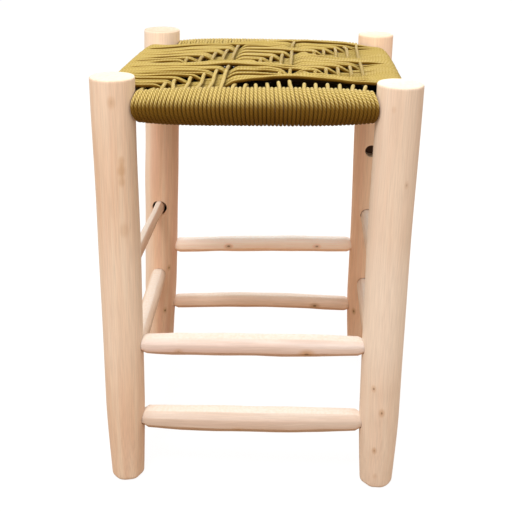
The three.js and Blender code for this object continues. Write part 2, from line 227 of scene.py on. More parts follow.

# %% [markdown]
# The wood is a young pole with its bark peeled off. Its surface is the sapwood itself: long soft stripes of
# cream, pink and ochre, fine fibres and a few knots where twigs were cut. Faces that look up are nearly
# white, partly the freshly cut wood that the saw or the drawknife opened and partly painted highlight from
# the light above. Some stretches are made paler, partly as painted light, the sides towards the key light get
# a painted highlight, undersides get a warmer painted shade, and the bores get painted shade. An image could
# be wrapped round each pole, but drawn-out noise has no seam. Each piece carries its own coordinates, across
# the pole and along it, so that the stripes follow the wood as it leans.

# %% Wood finish
untinted = (1, 1, 1)
cream = (0.83, 0.67, 0.53)
tan = (0.76, 0.54, 0.39)
pink = (0.78, 0.53, 0.41)
weathered_grey = (0.42, 0.33, 0.26)
pale_and_lit_wood = (0.95, 0.86, 0.75)
# Painted highlight for sides that face left, towards the key light.
painted_lit_side = (0.93, 0.82, 0.70)
bore_shade = (0.09, 0.045, 0.025)
# Freshly cut wood for faces that look up: real on sawn ends, painted highlight from the light above
# elsewhere.
lit_fresh_pale = (0.93, 0.87, 0.76)
lit_fresh_warm = (0.90, 0.80, 0.66)
knot_ochre = (0.55, 0.31, 0.14)
knot_heart = (0.20, 0.11, 0.06)
knot_length_share = 0.62
seed_step = 3.7
pale_middle_height = 0.29
pale_middle_fade = (0.17, 0.04)
pale_high_fade = (0.50, 0.565)
foot_fade = (0.02, 0.03)
top_fade = (0.58, 0.57)


def with_knots(finish, grain, wobble, knots, colour, relief):
    """The colour and relief with the ochre halo, dark heart and rings of each knot."""
    for x, y, z, radius, ochre, dark in knots:
        offset = finish.vector_maths("SUBTRACT", {0: grain, 1: (x, y, z)})
        squeezed = finish.vector_maths("MULTIPLY", {0: offset, 1: (1, 1, knot_length_share)})
        reach = finish.vector_maths("LENGTH", {0: squeezed}, "Value") / radius
        wander = reach + (wobble - 0.5) * 0.5
        colour = finish.blend(finish.ramp(wander, 3.4, 0.9) * ochre, colour, knot_ochre)
        colour = finish.blend(finish.ramp(wander, 1.1, 0.55) * dark, colour, knot_heart)
        rings = finish.maths("SINE", wander * 9)
        relief = relief + rings * finish.ramp(wander, 2.6, 0.8) * 0.25
    return colour, relief


def wood_finish(
    name, seed, knots=(), fresh_and_lit_top=0.5, warmth=0.5, pale=0.0, pale_middle=0.0, pale_high=0.0, lit_left=0.0,
    tint=untinted, top_light_tone=untinted, painted_under_shade=untinted, bored_within=0.0001,
):
    """A peeled or hewn wood.

    Knots are (across, across, along, radius, ochre share, dark share), in metres. The pale values are how far
    the whole piece, its middle and its upper end are made paler, partly as painted light, how far the top
    faces get freshly cut wood with a painted highlight, and how far the left side gets a painted highlight.
    The under tone is painted shade on the undersides. What lies nearer the heart than bored_within is the
    inside of a bore, which gets painted shade.
    """
    material, finish, shader = new_material(name)
    grain = finish.add("ShaderNodeAttribute", {"attribute_name": "grain"}, output="Vector")
    across, over, along = finish.parts(grain)

    def streaks(thin, slow, offset, detail, distortion=0.0):
        """Noise that is drawn out along the pole, as often as slow along it and as thin across it."""
        place = finish.vector(across * thin + (seed_step * seed + offset), over * thin, along * slow)
        return finish.noise(place, detail, distortion)

    stripes = streaks(95, 3.2, 0, 3.0, 0.6)
    broad = streaks(34, 2.0, 5, 2.0, 0.3)
    fibres = streaks(900, 26, 9, 3.0)
    grey = streaks(210, 14, 13, 3.0, 0.4)
    sawn = streaks(240, 240, 21, 4.0)
    colour = finish.blend(finish.ramp(stripes, 0.34, 0.66) * (0.35 + 0.65 * warmth), cream, tan)
    colour = finish.blend(finish.ramp(broad, 0.45, 0.70) * warmth, colour, pink)
    colour = finish.blend(finish.ramp(grey, 0.62, 0.80) * 0.32, colour, weathered_grey)

    off_middle = finish.maths("ABSOLUTE", along - pale_middle_height)
    middle = finish.ramp(off_middle, *pale_middle_fade) * pale_middle
    high = finish.ramp(along, *pale_high_fade) * pale_high
    pale_and_lit = finish.maths("MAXIMUM", finish.maths("MAXIMUM", middle, pale), high)
    colour = finish.blend(pale_and_lit, colour, pale_and_lit_wood)
    colour = finish.vector_maths("MULTIPLY", {0: colour, 1: tint})
    colour = finish.vector_maths("SCALE", {0: colour, "Scale": finish.ramp(fibres, 0.3, 0.7, 0.92, 1.04)})

    facing_right, _, facing_up = finish.parts(finish.add("ShaderNodeTexCoord", output="Normal"))
    # Painted highlight: sides that face left, towards the key light, are made paler.
    colour = finish.blend(finish.ramp(facing_right, -0.1, -0.9) * lit_left, colour, painted_lit_side)
    # Painted shade: undersides take a warmer, darker tone.
    shaded_underside = finish.vector_maths("MULTIPLY", {0: colour, 1: painted_under_shade})
    colour = finish.blend(finish.ramp(facing_up, 0.1, -0.5), colour, shaded_underside)
    # Painted shade inside the bores.
    from_heart = finish.maths("SQRT", across * across + over * over)
    clear_of_ends = finish.ramp(along, *foot_fade) * finish.ramp(along, *top_fade)
    in_bore = finish.ramp(from_heart, bored_within, bored_within * 0.75) * clear_of_ends
    colour = finish.blend(in_bore, colour, bore_shade)
    # Faces that look up: freshly cut wood, partly painted highlight from the light above.
    lit_fresh = finish.blend(finish.ramp(sawn, 0.35, 0.7), lit_fresh_pale, lit_fresh_warm)
    lit_fresh = finish.vector_maths("MULTIPLY", {0: lit_fresh, 1: top_light_tone})
    colour = finish.blend(finish.ramp(facing_up, 0.5, 0.95) * fresh_and_lit_top, colour, lit_fresh)
    colour, relief = with_knots(finish, grain, grey, knots, colour, fibres * 0.35 + stripes * 0.3)

    finish.feed(shader.inputs["Base Color"], colour)
    finish.feed(shader.inputs["Roughness"], finish.ramp(stripes, 0.3, 0.7, 0.6, 0.72))
    shader.inputs["Specular IOR Level"].default_value = 0.3
    finish.feed(shader.inputs["Normal"], finish.bump(0.5, 0.0006, relief))
    return material


print("wood finish ready")

# %% [markdown]
# A pole is a tube of many rings. A cylinder with a Displace modifier would do for a straight one. These
# lean and bow, so Blender's cone gives the two ends, cuts along its uprights give the rings between, and
# the rings are then set along the pole's middle line with the radius that the knife left.

# %% Tools for poles
crease_angle = math.radians(38)


def tube_mesh(name, sides, rings):
    """A closed tube of radius 1 whose rings stand at the heights 0, 1, 2 and so on."""
    tube = bmesh.new()
    bmesh.ops.create_cone(
        tube, cap_ends=True, segments=sides, radius1=1, radius2=1, depth=rings - 1
    )
    bmesh.ops.translate(tube, verts=tube.verts, vec=(0, 0, (rings - 1) / 2))
    uprights = [e for e in tube.edges if abs(e.verts[0].co.z - e.verts[1].co.z) > 0.5]
    bmesh.ops.subdivide_edges(tube, edges=uprights, cuts=rings - 2)
    mesh = bpy.data.meshes.new(name)
    tube.to_mesh(mesh)
    tube.free()
    return mesh


def corners_of(mesh):
    flat = np.empty(len(mesh.vertices) * 3, np.float32)
    mesh.vertices.foreach_get("co", flat)
    return flat.reshape(-1, 3).astype(float)


def set_corners(mesh, corners):
    """Sets the vertices, given in millimetres."""
    mesh.vertices.foreach_set("co", (corners / metre).astype(np.float32).ravel())
    mesh.update()


def to_metres(mesh):
    """Scales a mesh that was drawn in millimetres."""
    set_corners(mesh, corners_of(mesh))


def shaped_tube(name, sides, centres, side, rise, radius_at):
    """A tube whose rings have the given centres, and whose radius is radius_at(angles, ring numbers)."""
    mesh = tube_mesh(name, sides, len(centres))
    plain = corners_of(mesh)
    ring = np.rint(plain[:, 2]).astype(int)
    angle = np.arctan2(plain[:, 1], plain[:, 0])
    radius = radius_at(angle, ring)[:, None]
    spoke = np.cos(angle)[:, None] * side + np.sin(angle)[:, None] * rise
    set_corners(mesh, centres[ring] + spoke * radius)
    return mesh


def as_object(name, mesh, material, slot_name, *replaced):
    """Shows the mesh as a piece of the stool in place of the CAD nodes named."""
    obj = bpy.data.objects.new(name, mesh)
    bpy.context.collection.objects.link(obj)
    mesh.materials.clear()
    mesh.materials.append(material)
    mesh.shade_smooth()
    mesh.set_sharp_from_angle(angle=crease_angle)
    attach(obj, "root")
    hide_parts(*replaced)
    return obj


def write_grain(mesh, local):
    """Stores each vertex's place across and along its pole, in metres."""
    attribute = mesh.attributes.new("grain", "FLOAT_VECTOR", "POINT")
    attribute.data.foreach_set("vector", (local / metre).astype(np.float32).ravel())


print("pole tools ready")

# %% [markdown]
# Stretchers and rails run between the legs. The sizes below are those of the frame: how wide and high each
# stretcher's middle and shoulders are, how far it crowns, and how each rail swells and bows. Where they
# stand could be worked out from these, but reading it from the frame lets no piece drift away from its
# mortise.

# %% Stretchers and rails in the frame
stretcher_tenon = 32
stretcher_shoulder = 6
stretchers = {
    "front_upper": {"middle": (28, 30), "shoulder": (25, 25), "mortise": 23, "lift": 0},
    "front_lower": {"middle": (32, 36), "shoulder": (28, 30), "mortise": 25, "lift": -2},
    "back_upper": {"middle": (26, 27), "shoulder": (24, 25), "mortise": 23, "lift": 2.3},
    "back_lower": {"middle": (26, 26), "shoulder": (24, 25), "mortise": 23, "lift": 4.5},
    "left_upper": {"middle": (15, 22), "shoulder": (15, 26), "mortise": 26, "lift": 3},
    "left_lower": {"middle": (27, 27), "shoulder": (25, 26), "mortise": 23, "lift": 0},
    "right_upper": {"middle": (27, 27), "shoulder": (25, 25), "mortise": 26, "lift": 2},
    "right_lower": {"middle": (29, 29), "shoulder": (27, 28), "mortise": 25, "lift": 1},
}
rails = {
    "front": {"radius": 18.0, "drop": 4.5, "bow": 0.0},
    "back": {"radius": 18.0, "drop": 4.5, "bow": 0.0},
    "left": {"radius": 16.0, "drop": 2.5, "bow": -1.0},
    "right": {"radius": 15.0, "drop": 2.0, "bow": 1.0},
}
rail_tenon = 15
rail_tenon_radius = 11


def take_axis(member, node):
    member["start"], member["end"] = disc_middles(node, leaning_slice)
    member["length"] = np.linalg.norm(member["end"] - member["start"])
    member["along"] = (member["end"] - member["start"]) / member["length"]
    member["side"] = np.cross((0, 0, 1), member["along"])
    member["side"] /= np.linalg.norm(member["side"])
    member["rise"] = np.cross(member["along"], member["side"])


for name, stretcher in stretchers.items():
    take_axis(stretcher, "stretcher_" + name)
for name, rail in rails.items():
    take_axis(rail, "seat_rail_" + name)
    rail["way"] = int(np.argmax(np.abs(rail["along"])))
    rail["bow_way"] = np.array((0, 1, 0) if rail["way"] == 0 else (1, 0, 0))
print("stretcher lengths", {name: round(float(s["length"])) for name, s in stretchers.items()})

# %% [markdown]
# The stretchers are billets split from a log and hewn with a few strokes: eight flat sides whose edges
# wander, pared round where they enter the legs. A box with a Bevel modifier would look machined. Here
# sections of eight corners drift a little between strokes, and the long edges are bevelled where the knife
# took them off. Inside the legs the corners are pared to the round hole, which leaves the dark gaps that
# show beside the flatter billets.

# %% Shape of the billets
hewn_corner_shares = np.array(
    [(1, 0.42), (0.5, 1), (-0.5, 1), (-1, 0.42), (-1, -0.42), (-0.5, -1), (0.5, -1), (1, -0.42)]
)
hewn_fullness = ((0, 0.2, 0.36, 0.5, 0.66, 0.82, 1), (1, 0.96, 1, 0.97, 1, 0.95, 1))
billet_rows = 26
edge_width = 1.5
pared_gap = 0.4
shoulder_swell = 5.5
stroke_share = 0.012
corner_drift = 0.55


def lofted_billet(name, sections):
    """A closed billet through sections of eight corners each."""
    billet = bmesh.new()
    rings = [[billet.verts.new(corner) for corner in section] for section in sections]
    for before, after in zip(rings, rings[1:]):
        for i in range(len(before)):
            k = (i + 1) % len(before)
            billet.faces.new((before[i], before[k], after[k], after[i]))
    billet.faces.new(rings[0][::-1])
    billet.faces.new(rings[-1])
    bmesh.ops.recalc_face_normals(billet, faces=billet.faces)
    long_edges = [
        edge
        for before, after in zip(rings, rings[1:])
        for a, b in zip(before, after)
        if (edge := billet.edges.get((a, b)))
    ]
    bmesh.ops.bevel(
        billet,
        geom=long_edges,
        offset=edge_width,
        offset_type="OFFSET",
        segments=2,
        profile=0.5,
        affect="EDGES",
        material=-1,
        clamp_overlap=True,
    )
    mesh = bpy.data.meshes.new(name)
    billet.to_mesh(mesh)
    billet.free()
    return mesh


def billet_sections(stretcher, random):
    """Eight corners at each place along a billet, from one tenon's end to the other's."""
    length = stretcher["length"]
    clear = length - 2 * stretcher_tenon
    body = clear - 2 * stretcher_shoulder
    body_places = stretcher_tenon + stretcher_shoulder + np.linspace(0, 1, billet_rows) * body
    places = np.concatenate(
        ([0, stretcher_tenon - 1], body_places, [length - stretcher_tenon + 1, length])
    )
    drift = random.normal(0, 1, (len(places), 8, 2))
    for _ in range(3):
        drift[1:-1] = (drift[:-2] + 2 * drift[1:-1] + drift[2:]) / 4
    strokes = random.uniform(-0.5, 0.5, (len(places), 8))
    hole = stretcher["mortise"] / 2 - pared_gap
    sections = []
    for k, place in enumerate(places):
        clear_share = np.clip((place - stretcher_tenon) / clear, 0, 1)
        fullness = np.interp(clear_share, *hewn_fullness)
        swell = min(1, max(0, min(clear_share, 1 - clear_share) * shoulder_swell))
        shoulder = np.array(stretcher["shoulder"])
        widest = np.array(stretcher["middle"])
        size = shoulder * (1 - swell) + widest * swell * fullness
        corners = hewn_corner_shares * size / 2
        if place < stretcher_tenon or place > length - stretcher_tenon:
            reach = np.linalg.norm(corners, axis=1, keepdims=True)
            corners = corners * np.minimum(1, hole / reach)
        else:
            corners = corners * (1 + stroke_share * strokes[k][:, None]) + drift[k] * corner_drift
        body_share = np.clip((place - stretcher_tenon - stretcher_shoulder) / body, 0, 1)
        crown = stretcher["lift"] * math.sin(math.pi * body_share)
        middle = stretcher["start"] + stretcher["along"] * place + stretcher["rise"] * crown
        sections.append([middle + stretcher["side"] * x + stretcher["rise"] * z for x, z in corners])
    return sections


def member_grain(mesh, member):
    """Writes the grain of a piece that runs along its member's axis."""
    offset = corners_of(mesh) * metre - member["start"]
    local = np.stack([offset @ member[way] for way in ("side", "rise", "along")], axis=1)
    write_grain(mesh, local)


print("billet shape ready")

# %% [markdown]
# Each billet has its own tint. The front pair is cooler, the back pair is painted paler with lighter tops, as
# painted light where the seat shades them, and the flat one on the left is browner. A few small knots are
# placed where the picture shows them.

# %% Billets
# Billet tops get freshly cut wood with a painted highlight, and undersides a warmer painted shade.
hewn_look = {"fresh_and_lit_top": 0.85, "top_light_tone": (0.95, 0.92, 0.95), "painted_under_shade": (0.88, 0.74, 0.62)}
billet_looks = {
    "front_upper": {
        "knots": ((-0.012, -0.004, 0.084, 0.0018, 0.4, 0.8), (-0.012, -0.006, 0.262, 0.003, 0.7, 0.8)),
        "tint": (0.95, 1.02, 1.2),
    },
    "front_lower": {
        "knots": ((-0.015, -0.012, 0.17, 0.0025, 0.4, 0.1),),
        "tint": (0.89, 0.95, 1.06),
    },
    # Painted light: the back pair is made paler, and the upper one's top lighter, where the seat shades them.
    "back_upper": {
        "knots": ((-0.012, 0.002, 0.13, 0.0022, 0.6, 0.8), (-0.012, 0.001, 0.292, 0.002, 0.4, 0.6)),
        "pale": 1.0,
        "tint": (1.22, 1.12, 1.1),
        "top_light_tone": (1.07, 1.12, 1.25),
    },
    "back_lower": {
        "knots": ((-0.012, 0.0, 0.30, 0.0026, 0.6, 0.8),),
        "pale": 0.5,
        "tint": (1.08, 0.98, 0.94),
    },
    "left_upper": {"tint": (0.85, 0.75, 0.68)},
}
billet_seed = 40
billet_finish_seed = 20
for number, (name, stretcher) in enumerate(stretchers.items()):
    random = np.random.default_rng(billet_seed + number)
    mesh = lofted_billet("billet_" + name, billet_sections(stretcher, random))
    to_metres(mesh)
    member_grain(mesh, stretcher)
    look = hewn_look | billet_looks.get(name, {})
    material = wood_finish("hewn_" + name, billet_finish_seed + number, **look)
    as_object("billet_" + name, mesh, material, "hewn_stretcher", "stretcher_" + name)
print("hewn billets made", len(stretchers))

# %% [markdown]
# The seat rails are thinner poles, smooth and slightly swelling towards their middles. The cord hides all
# but a little of them, so a few low lumps are enough. The two functions also tell the cord where a rail's
# middle line runs and how thick the rail is there.

# %% Rails
rail_sides = 40
rail_rows = 40
rail_unevenness = 0.25
tenon_fullness = 0.2
lump_length = 60
rail_seed = 60
rail_finish_seed = 33


def rail_middle(rail, distance):
    """The middle line and radius of a rail at distances from its start."""
    clear = rail["length"] - 2 * rail_tenon
    share = np.clip((distance - rail_tenon) / clear, 0, 1)
    middle = rail["start"] + rail["along"] * distance[..., None]
    middle = middle + rail["bow_way"] * (rail["bow"] * np.sin(math.pi * share))[..., None]
    return middle, rail["radius"] - rail["drop"] * np.abs(2 * share - 1) ** 4


def rail_at(rail, place):
    """The same at places given along the stool, in seat coordinates."""
    way = rail["way"]
    distance = (place + seat_origin[way] - rail["start"][way]) / rail["along"][way]
    middle, radius = rail_middle(rail, distance)
    return middle - seat_origin, radius


for number, (name, rail) in enumerate(rails.items()):
    ends = np.array((0, 2, rail_tenon - 2, rail_tenon))
    body = np.linspace(rail_tenon + 1, rail["length"] - rail_tenon - 1, rail_rows)
    distances = np.concatenate((ends, body, rail["length"] - ends[::-1]))
    middles, radii = rail_middle(rail, distances)
    radii[: len(ends)] = rail_tenon_radius
    radii[-len(ends) :] = rail_tenon_radius
    random = np.random.default_rng(rail_seed + number)
    lumps = [random.uniform(0, 2 * math.pi) for _ in range(2)]

    def radius_at(angle, ring):
        inside = (ring < len(ends)) | (ring >= len(distances) - len(ends))
        round_lump = np.cos(2 * angle + lumps[0])
        uneven = rail_unevenness * round_lump * np.cos(distances[ring] / lump_length + lumps[1])
        return radii[ring] - rail_unevenness + np.where(inside, tenon_fullness, uneven)

    mesh = shaped_tube("rail_" + name, rail_sides, middles, rail["side"], rail["rise"], radius_at)
    member_grain(mesh, rail)
    # Upward faces of the rails get a little freshly cut wood with a painted highlight.
    material = wood_finish("rail_wood_" + name, rail_finish_seed + number, fresh_and_lit_top=0.2)
    as_object("rail_" + name, mesh, material, "peeled_pole", "seat_rail_" + name)
print("rails made", len(rails))

# %% [markdown]
# The holes in the legs are bored round: two for stretchers and two for rails in each leg, and one in the
# back right leg that stays empty. They could be painted dark, but the flat billets leave gaps beside them
# that show a hole's real depth. So an exact Boolean cuts them, with one cutter of separate cylinders for
# each leg.

# %% Boring
spare_bore = {"leg": "back_right", "height": 409, "diameter": 21, "depth": 22}
bore_sides = 40
bore_length = 55
bore_clearance = 0.3
spare_bore_overhang = 20
leg_reach = 30


def cylinder_mesh(name, bores):
    """One mesh of separate cylinders, each given by its two ends and radius in millimetres."""
    cutter = bmesh.new()
    for start, end, radius in bores:
        span = Vector(end) - Vector(start)
        place = Matrix.Translation((Vector(start) + Vector(end)) / 2)
        turn = span.to_track_quat("Z", "Y").to_matrix().to_4x4()
        bmesh.ops.create_cone(
            cutter, cap_ends=True, segments=bore_sides, radius1=radius, radius2=radius,
            depth=span.length, matrix=place @ turn,
        )
    mesh = bpy.data.meshes.new(name)
    cutter.to_mesh(mesh)
    cutter.free()
    to_metres(mesh)
    return mesh


def bored(mesh, bores):
    """The mesh with the bores cut out of it."""
    body = bpy.data.objects.new("boring", mesh)
    cutter = bpy.data.objects.new("bores", cylinder_mesh("bores", bores))
    bpy.context.collection.objects.link(body)
    bpy.context.collection.objects.link(cutter)
    cut = body.modifiers.new("bores", "BOOLEAN")
    cut.operation = "DIFFERENCE"
    cut.solver = "EXACT"
    cut.object = cutter
    result = bpy.data.meshes.new_from_object(body.evaluated_get(bpy.context.evaluated_depsgraph_get()))
    bpy.data.objects.remove(body)
    bpy.data.objects.remove(cutter)
    return result


def bores_of(leg_name):
    """Every hole in a leg, from a little past the tenon's end to well outside."""
    leg = legs[leg_name]
    bores = []
    members = [(s, s["mortise"] / 2) for s in stretchers.values()]
    members += [(r, rail_tenon_radius + bore_clearance) for r in rails.values()]
    for member, radius in members:
        for tip, inward in ((member["start"], 1), (member["end"], -1)):
            if np.linalg.norm((tip - leg_centre(leg, tip[2]))[:2]) < leg_reach:
                out = member["along"] * inward
                bores.append((tip - out * bore_clearance, tip + out * bore_length, radius))
    if leg_name == spare_bore["leg"]:
        centre = leg_centre(leg, float(spare_bore["height"]))
        face = centre - np.array((0, leg["diameter"] / 2, 0))
        inner = face + np.array((0, spare_bore["depth"], 0))
        bores.append((inner, face - np.array((0, spare_bore_overhang, 0)), spare_bore["diameter"] / 2))
    return bores


print("bores", {name: len(bores_of(name)) for name in legs})

# %% [markdown]
# The legs are the thickest poles. Peeling leaves long soft flats and low swellings round the knots; the
# foot is whittled in over its last hand's width and its rim rounded; the top is sawn level and its rim just
# broken. Sculpting could do all this, but a few waves round and along the pole can be read and changed.
# Knots are given as degrees right of the front, height, size, ochre share and dark share.

# %% Legs
foot_taper = 130
foot_narrowing = 10
whittled_height = 55
whittled_depth = 0.4
oval_share = 0.01
oval_twist = 0.3
flat_twist = 0.15
flat_depth = 0.22
flat_length = 95
stroke_depth = 0.14
lump_height = 0.4
longest_lump = 420
leg_sides = 72
leg_rows = 130
leg_seed = 80
lump_seed = 90
leg_knots = {
    "front_left": [
        (8, 574, 2.0, 0.35, 0.1), (27, 500, 1.8, 0.4, 0), (26, 488, 2.2, 0.55, 0), (26, 474, 1.8, 0.4, 0),
        (28, 408, 2.6, 0.25, 0),
    ],
    "front_right": [
        (-18, 574, 1.2, 0.2, 0), (28, 480, 1.4, 0.25, 0.3), (-24, 180, 1.6, 0.4, 0.6),
        (2, 142, 1.8, 0.5, 0.7), (-14, 74, 1.6, 0.5, 0.5), (-8, 26, 1.8, 0.4, 0.8),
    ],
    "back_left": [(38, 172, 1.8, 0.5, 0.7), (26, 82, 1.8, 0.5, 0.8)],
    "back_right": [(-36, 92, 2.0, 0.6, 0.7)],
}
peeled_look = {"fresh_and_lit_top": 0.95, "bored_within": 0.0245}
# Each leg's side towards the key light gets a painted highlight, and each sawn top's tone tunes its painted
# highlight.
leg_looks = {
    "front_left": {
        "warmth": 0.6, "pale_middle": 0.35, "pale_high": 0.2,
        "tint": (0.98, 0.96, 0.94), "top_light_tone": (0.93, 0.88, 0.80),
    },
    "front_right": {
        "warmth": 0.2, "pale": 0.2, "pale_middle": 0.55, "lit_left": 0.25,
        "tint": (0.97, 0.97, 0.98), "top_light_tone": (0.93, 0.90, 0.84),
    },
    "back_left": {
        "warmth": 0.8, "pale_high": 0.95, "lit_left": 0.65,
        "tint": (1.0, 0.90, 0.83), "top_light_tone": (0.72, 0.62, 0.54),
    },
    "back_right": {
        "warmth": 0.8, "pale": 0.2, "pale_high": 0.7,
        "tint": (1.12, 0.98, 0.88), "top_light_tone": (0.86, 0.77, 0.67),
    },
}


def leg_radius(leg, height):
    share = np.maximum(0, 1 - height / foot_taper)
    return leg["diameter"] / 2 - foot_narrowing / 2 * share**1.5


def rim_steps(round_size, count):
    """Heights from the end face and how far the rim is drawn in at each, for a rounded rim."""
    angles = np.linspace(0, math.pi / 2, count)
    return round_size * (1 - np.cos(angles)), round_size * (1 - np.sin(angles))


def angle_from_front(degrees):
    """The direction on a leg's side that lies so many degrees right of the front."""
    return math.radians(degrees) - math.pi / 2


def waves(random, angle, along, count):
    """A sum of gentle waves round and along a pole, in millimetres."""
    total = np.zeros_like(angle)
    for _ in range(count):
        turns = random.integers(0, 4)
        length = random.uniform(0.25, 1.0) * longest_lump
        phase = random.uniform(0, 2 * math.pi, 2)
        total += np.cos(turns * angle + phase[0]) * np.cos(2 * math.pi * along / length + phase[1])
    return total * lump_height / math.sqrt(count)


foot_up, foot_in = rim_steps(8.0, 9)
top_down, top_in = rim_steps(2.4, 5)
shaft = np.linspace(foot_up[-1] + 2, leg_height - top_down[-1] - 2, leg_rows)
heights = np.concatenate((foot_up, shaft, leg_height - top_down[::-1]))
insets = np.concatenate((foot_in, np.zeros(len(shaft)), top_in[::-1]))
for number, (name, leg) in enumerate(legs.items()):
    random = np.random.default_rng(leg_seed + number)
    centres = leg_centre(leg, heights)
    knots = [(angle_from_front(a), z, size, ochre, dark) for a, z, size, ochre, dark in leg_knots[name]]
    flats = random.uniform(0, 2 * math.pi, 3)

    def radius_at(angle, ring):
        z = heights[ring]
        radius = leg_radius(leg, z) - insets[ring]
        spiral = angle + 2 * math.pi * flat_twist * z / leg_height
        radius = radius * (1 + oval_share * np.cos(2 * angle + 2 * math.pi * oval_twist * z / leg_height))
        radius += flat_depth * np.cos(5 * spiral + flats[0]) * np.cos(z / flat_length + flats[1])
        radius += stroke_depth * np.cos(9 * spiral + flats[2])
        whittled = np.maximum(0, 1 - z / whittled_height)
        radius += whittled * whittled_depth * np.cos(7 * angle + flats[1])
        for a, height, size, _, dark in knots:
            away = np.angle(np.exp(1j * (angle - a))) * leg["diameter"] / 2
            near = (away / (5 * size)) ** 2 + ((z - height) / (8 * size)) ** 2
            radius += (0.2 + 0.4 * dark) * size * np.exp(-near)
        return radius + waves(np.random.default_rng(lump_seed + number), angle, z, 6)

    right, back = np.eye(3)[:2]
    mesh = shaped_tube("leg_" + name, leg_sides, centres, right, back, radius_at)
    mesh = bored(mesh, bores_of(name))
    corners = corners_of(mesh) * metre
    write_grain(mesh, corners - leg_centre(leg, corners[:, 2]) * (1, 1, 0))
    radius = leg["diameter"] / 2 / metre
    shader_knots = [
        (math.cos(a) * radius, math.sin(a) * radius, height / metre, size / metre, ochre, dark)
        for a, height, size, ochre, dark in knots
    ]
    material = wood_finish("peeled_" + name, number, shader_knots, **(peeled_look | leg_looks[name]))
    as_object("pole_" + name, mesh, material, "peeled_pole", "leg_" + name)
print("legs made and bored", len(legs))

# %% [markdown]
# The seat is one plain weave of a single cord diameter. The warp is wound left to right over the side
# rails, sixty turns close together. The weft runs front to back under them in twenty bands a cord wide, and
# each band takes two and a half turns round the front and back rails, which fills those rails from leg to
# leg. Here and there a band comes up over some warps. Those floats make the rows of triangles. An image of
# the weave would look flat from so near the level of the seat, so every turn is laid as a cord.
#
# First come the sizes of the cord and the fields, in seat coordinates: millimetres, from the middle between
# the legs, right, away and up. A weft lies lower than the warp that crosses it by the value called
# crossing. A warp under a float is sunk instead, and the float stands proud of the seat and bulges in its
# middle. The table of floats gives, for each weft, the first warp under a float and the first one after it.

# %% Sizes of the weave
cord_radius = 2.5
lay_distance = 2.8
warp_count = 60
warp_field = 305.5
warp_pitch = warp_field / warp_count
warp_first = -warp_field / 2 + warp_pitch / 2
weft_count = 20
weft_field = 290.7
weft_pitch = weft_field / weft_count
weft_places = (np.arange(weft_count) + 0.5) * weft_pitch - weft_field / 2
weft_drifts = np.array([0, 0, 0, -5, 0, 1.5, 1.5, 0, 0.5, 0.5, -3, -3, -3, -4, 0.5, 0, 0, 1, 3.5, 5])
weft_leans = np.array([0] * 17 + [3, 3, 3])
back_way = np.array([-1] * 19 + [1])
crossing = 5.2
sunk = 6.2
proud = 1.4
bulge = 1.8
floats = {
    2: [(0, 1)],
    3: [(0, 4), (23, 27)],
    4: [(0, 6), (23, 30)],
    5: [(0, 8), (25, 36)],
    6: [(0, 12), (25, 41)],
    7: [(0, 18), (25, 49)],
    10: [(22, 26)],
    11: [(22, 31)],
    12: [(8, 10), (21, 36)],
    13: [(9, 15), (20, 41), (46, 60)],
    15: [(12, 14), (38, 41)],
    16: [(12, 18), (36, 45)],
    17: [(11, 21), (36, 50)],
    18: [(10, 24), (35, 55)],
    19: [(10, 29), (35, 60)],
}
sunk_warps = np.zeros((weft_count, warp_count), bool)
for weft, spans in floats.items():
    for first, end in spans:
        sunk_warps[weft, first:end] = True
print("floats cover", int(sunk_warps.sum()), "crossings of", sunk_warps.size)

# %% [markdown]
# The top of the seat bellies up a little between the rails, since the warps lie over the wefts, and two
# corners on the left sag where the cord runs low off the rail. Such a surface could be sculpted, but a
# formula can be asked at any place, so every cord can lie on it. Seen from above, each weft drifts and
# leans a little, and a second formula says where it runs.

# %% The seat's surface
dome = 6.0
seat_left = -174
seat_width = 350
side_rail_reach = 152
half_band = 6
weft_stations = (-184, -150, 100, 184)


def fade(value, low, high):
    """A smooth step from 0 at low to 1 at high."""
    t = np.clip((value - low) / (high - low), 0, 1)
    return t * t * (3 - 2 * t)


def corner_dip(x, y, corner_y, length, sag, right_fade, left_fade):
    """How far the seat sags near one of its left corners."""
    along = np.exp(-(((y - corner_y) / length) ** 2))
    return sag * along * (1 - fade(x, *right_fade)) * fade(x, *left_fade)


def seat_height(x, y):
    """The height of the middle of a warp that lies on top."""
    edges = []
    for name in ("left", "right"):
        middle, radius = rail_at(rails[name], np.clip(y, -side_rail_reach, side_rail_reach))
        edges.append(middle[..., 2] + radius + lay_distance)
    share = np.clip((x - seat_left) / seat_width, 0, 1)
    height = edges[0] + (edges[1] - edges[0]) * share + dome * 4 * share * (1 - share)
    front_dip = corner_dip(x, y, -150, 25, 5, (-70, -20), (-174, -150))
    back_dip = corner_dip(x, y, 150, 35, 6, (-80, 0), (-182, -150))
    return height - front_dip - back_dip


def weft_x(weft, y):
    """Where a weft runs, at a place from front to back."""
    front = weft_places[weft] - half_band
    seat = front + weft_drifts[weft]
    back = weft_places[weft] + half_band * back_way[weft]
    return np.interp(y, weft_stations, (front, seat, seat + weft_leans[weft], back))


print("seat height in the middle", seat_height(np.array(0.0), np.array(0.0)))

# %% [markdown]
# Where a float begins or ends, the weft comes up between two warps and shoves them apart, and a valley
# opens in the seat that runs on between the warps until their tension closes it. Sculpted creases would cut
# through the cords, so the valleys move the cords themselves. Each is given by knots: x, the number of the
# first warp behind it, and half its opening. Those of the floats follow from the table, and the last weft's
# stay nearly shut beside the back rail. The two tables of rows say how far a few of them run on past their
# float. The long ones along the rows of triangles were read from the picture.

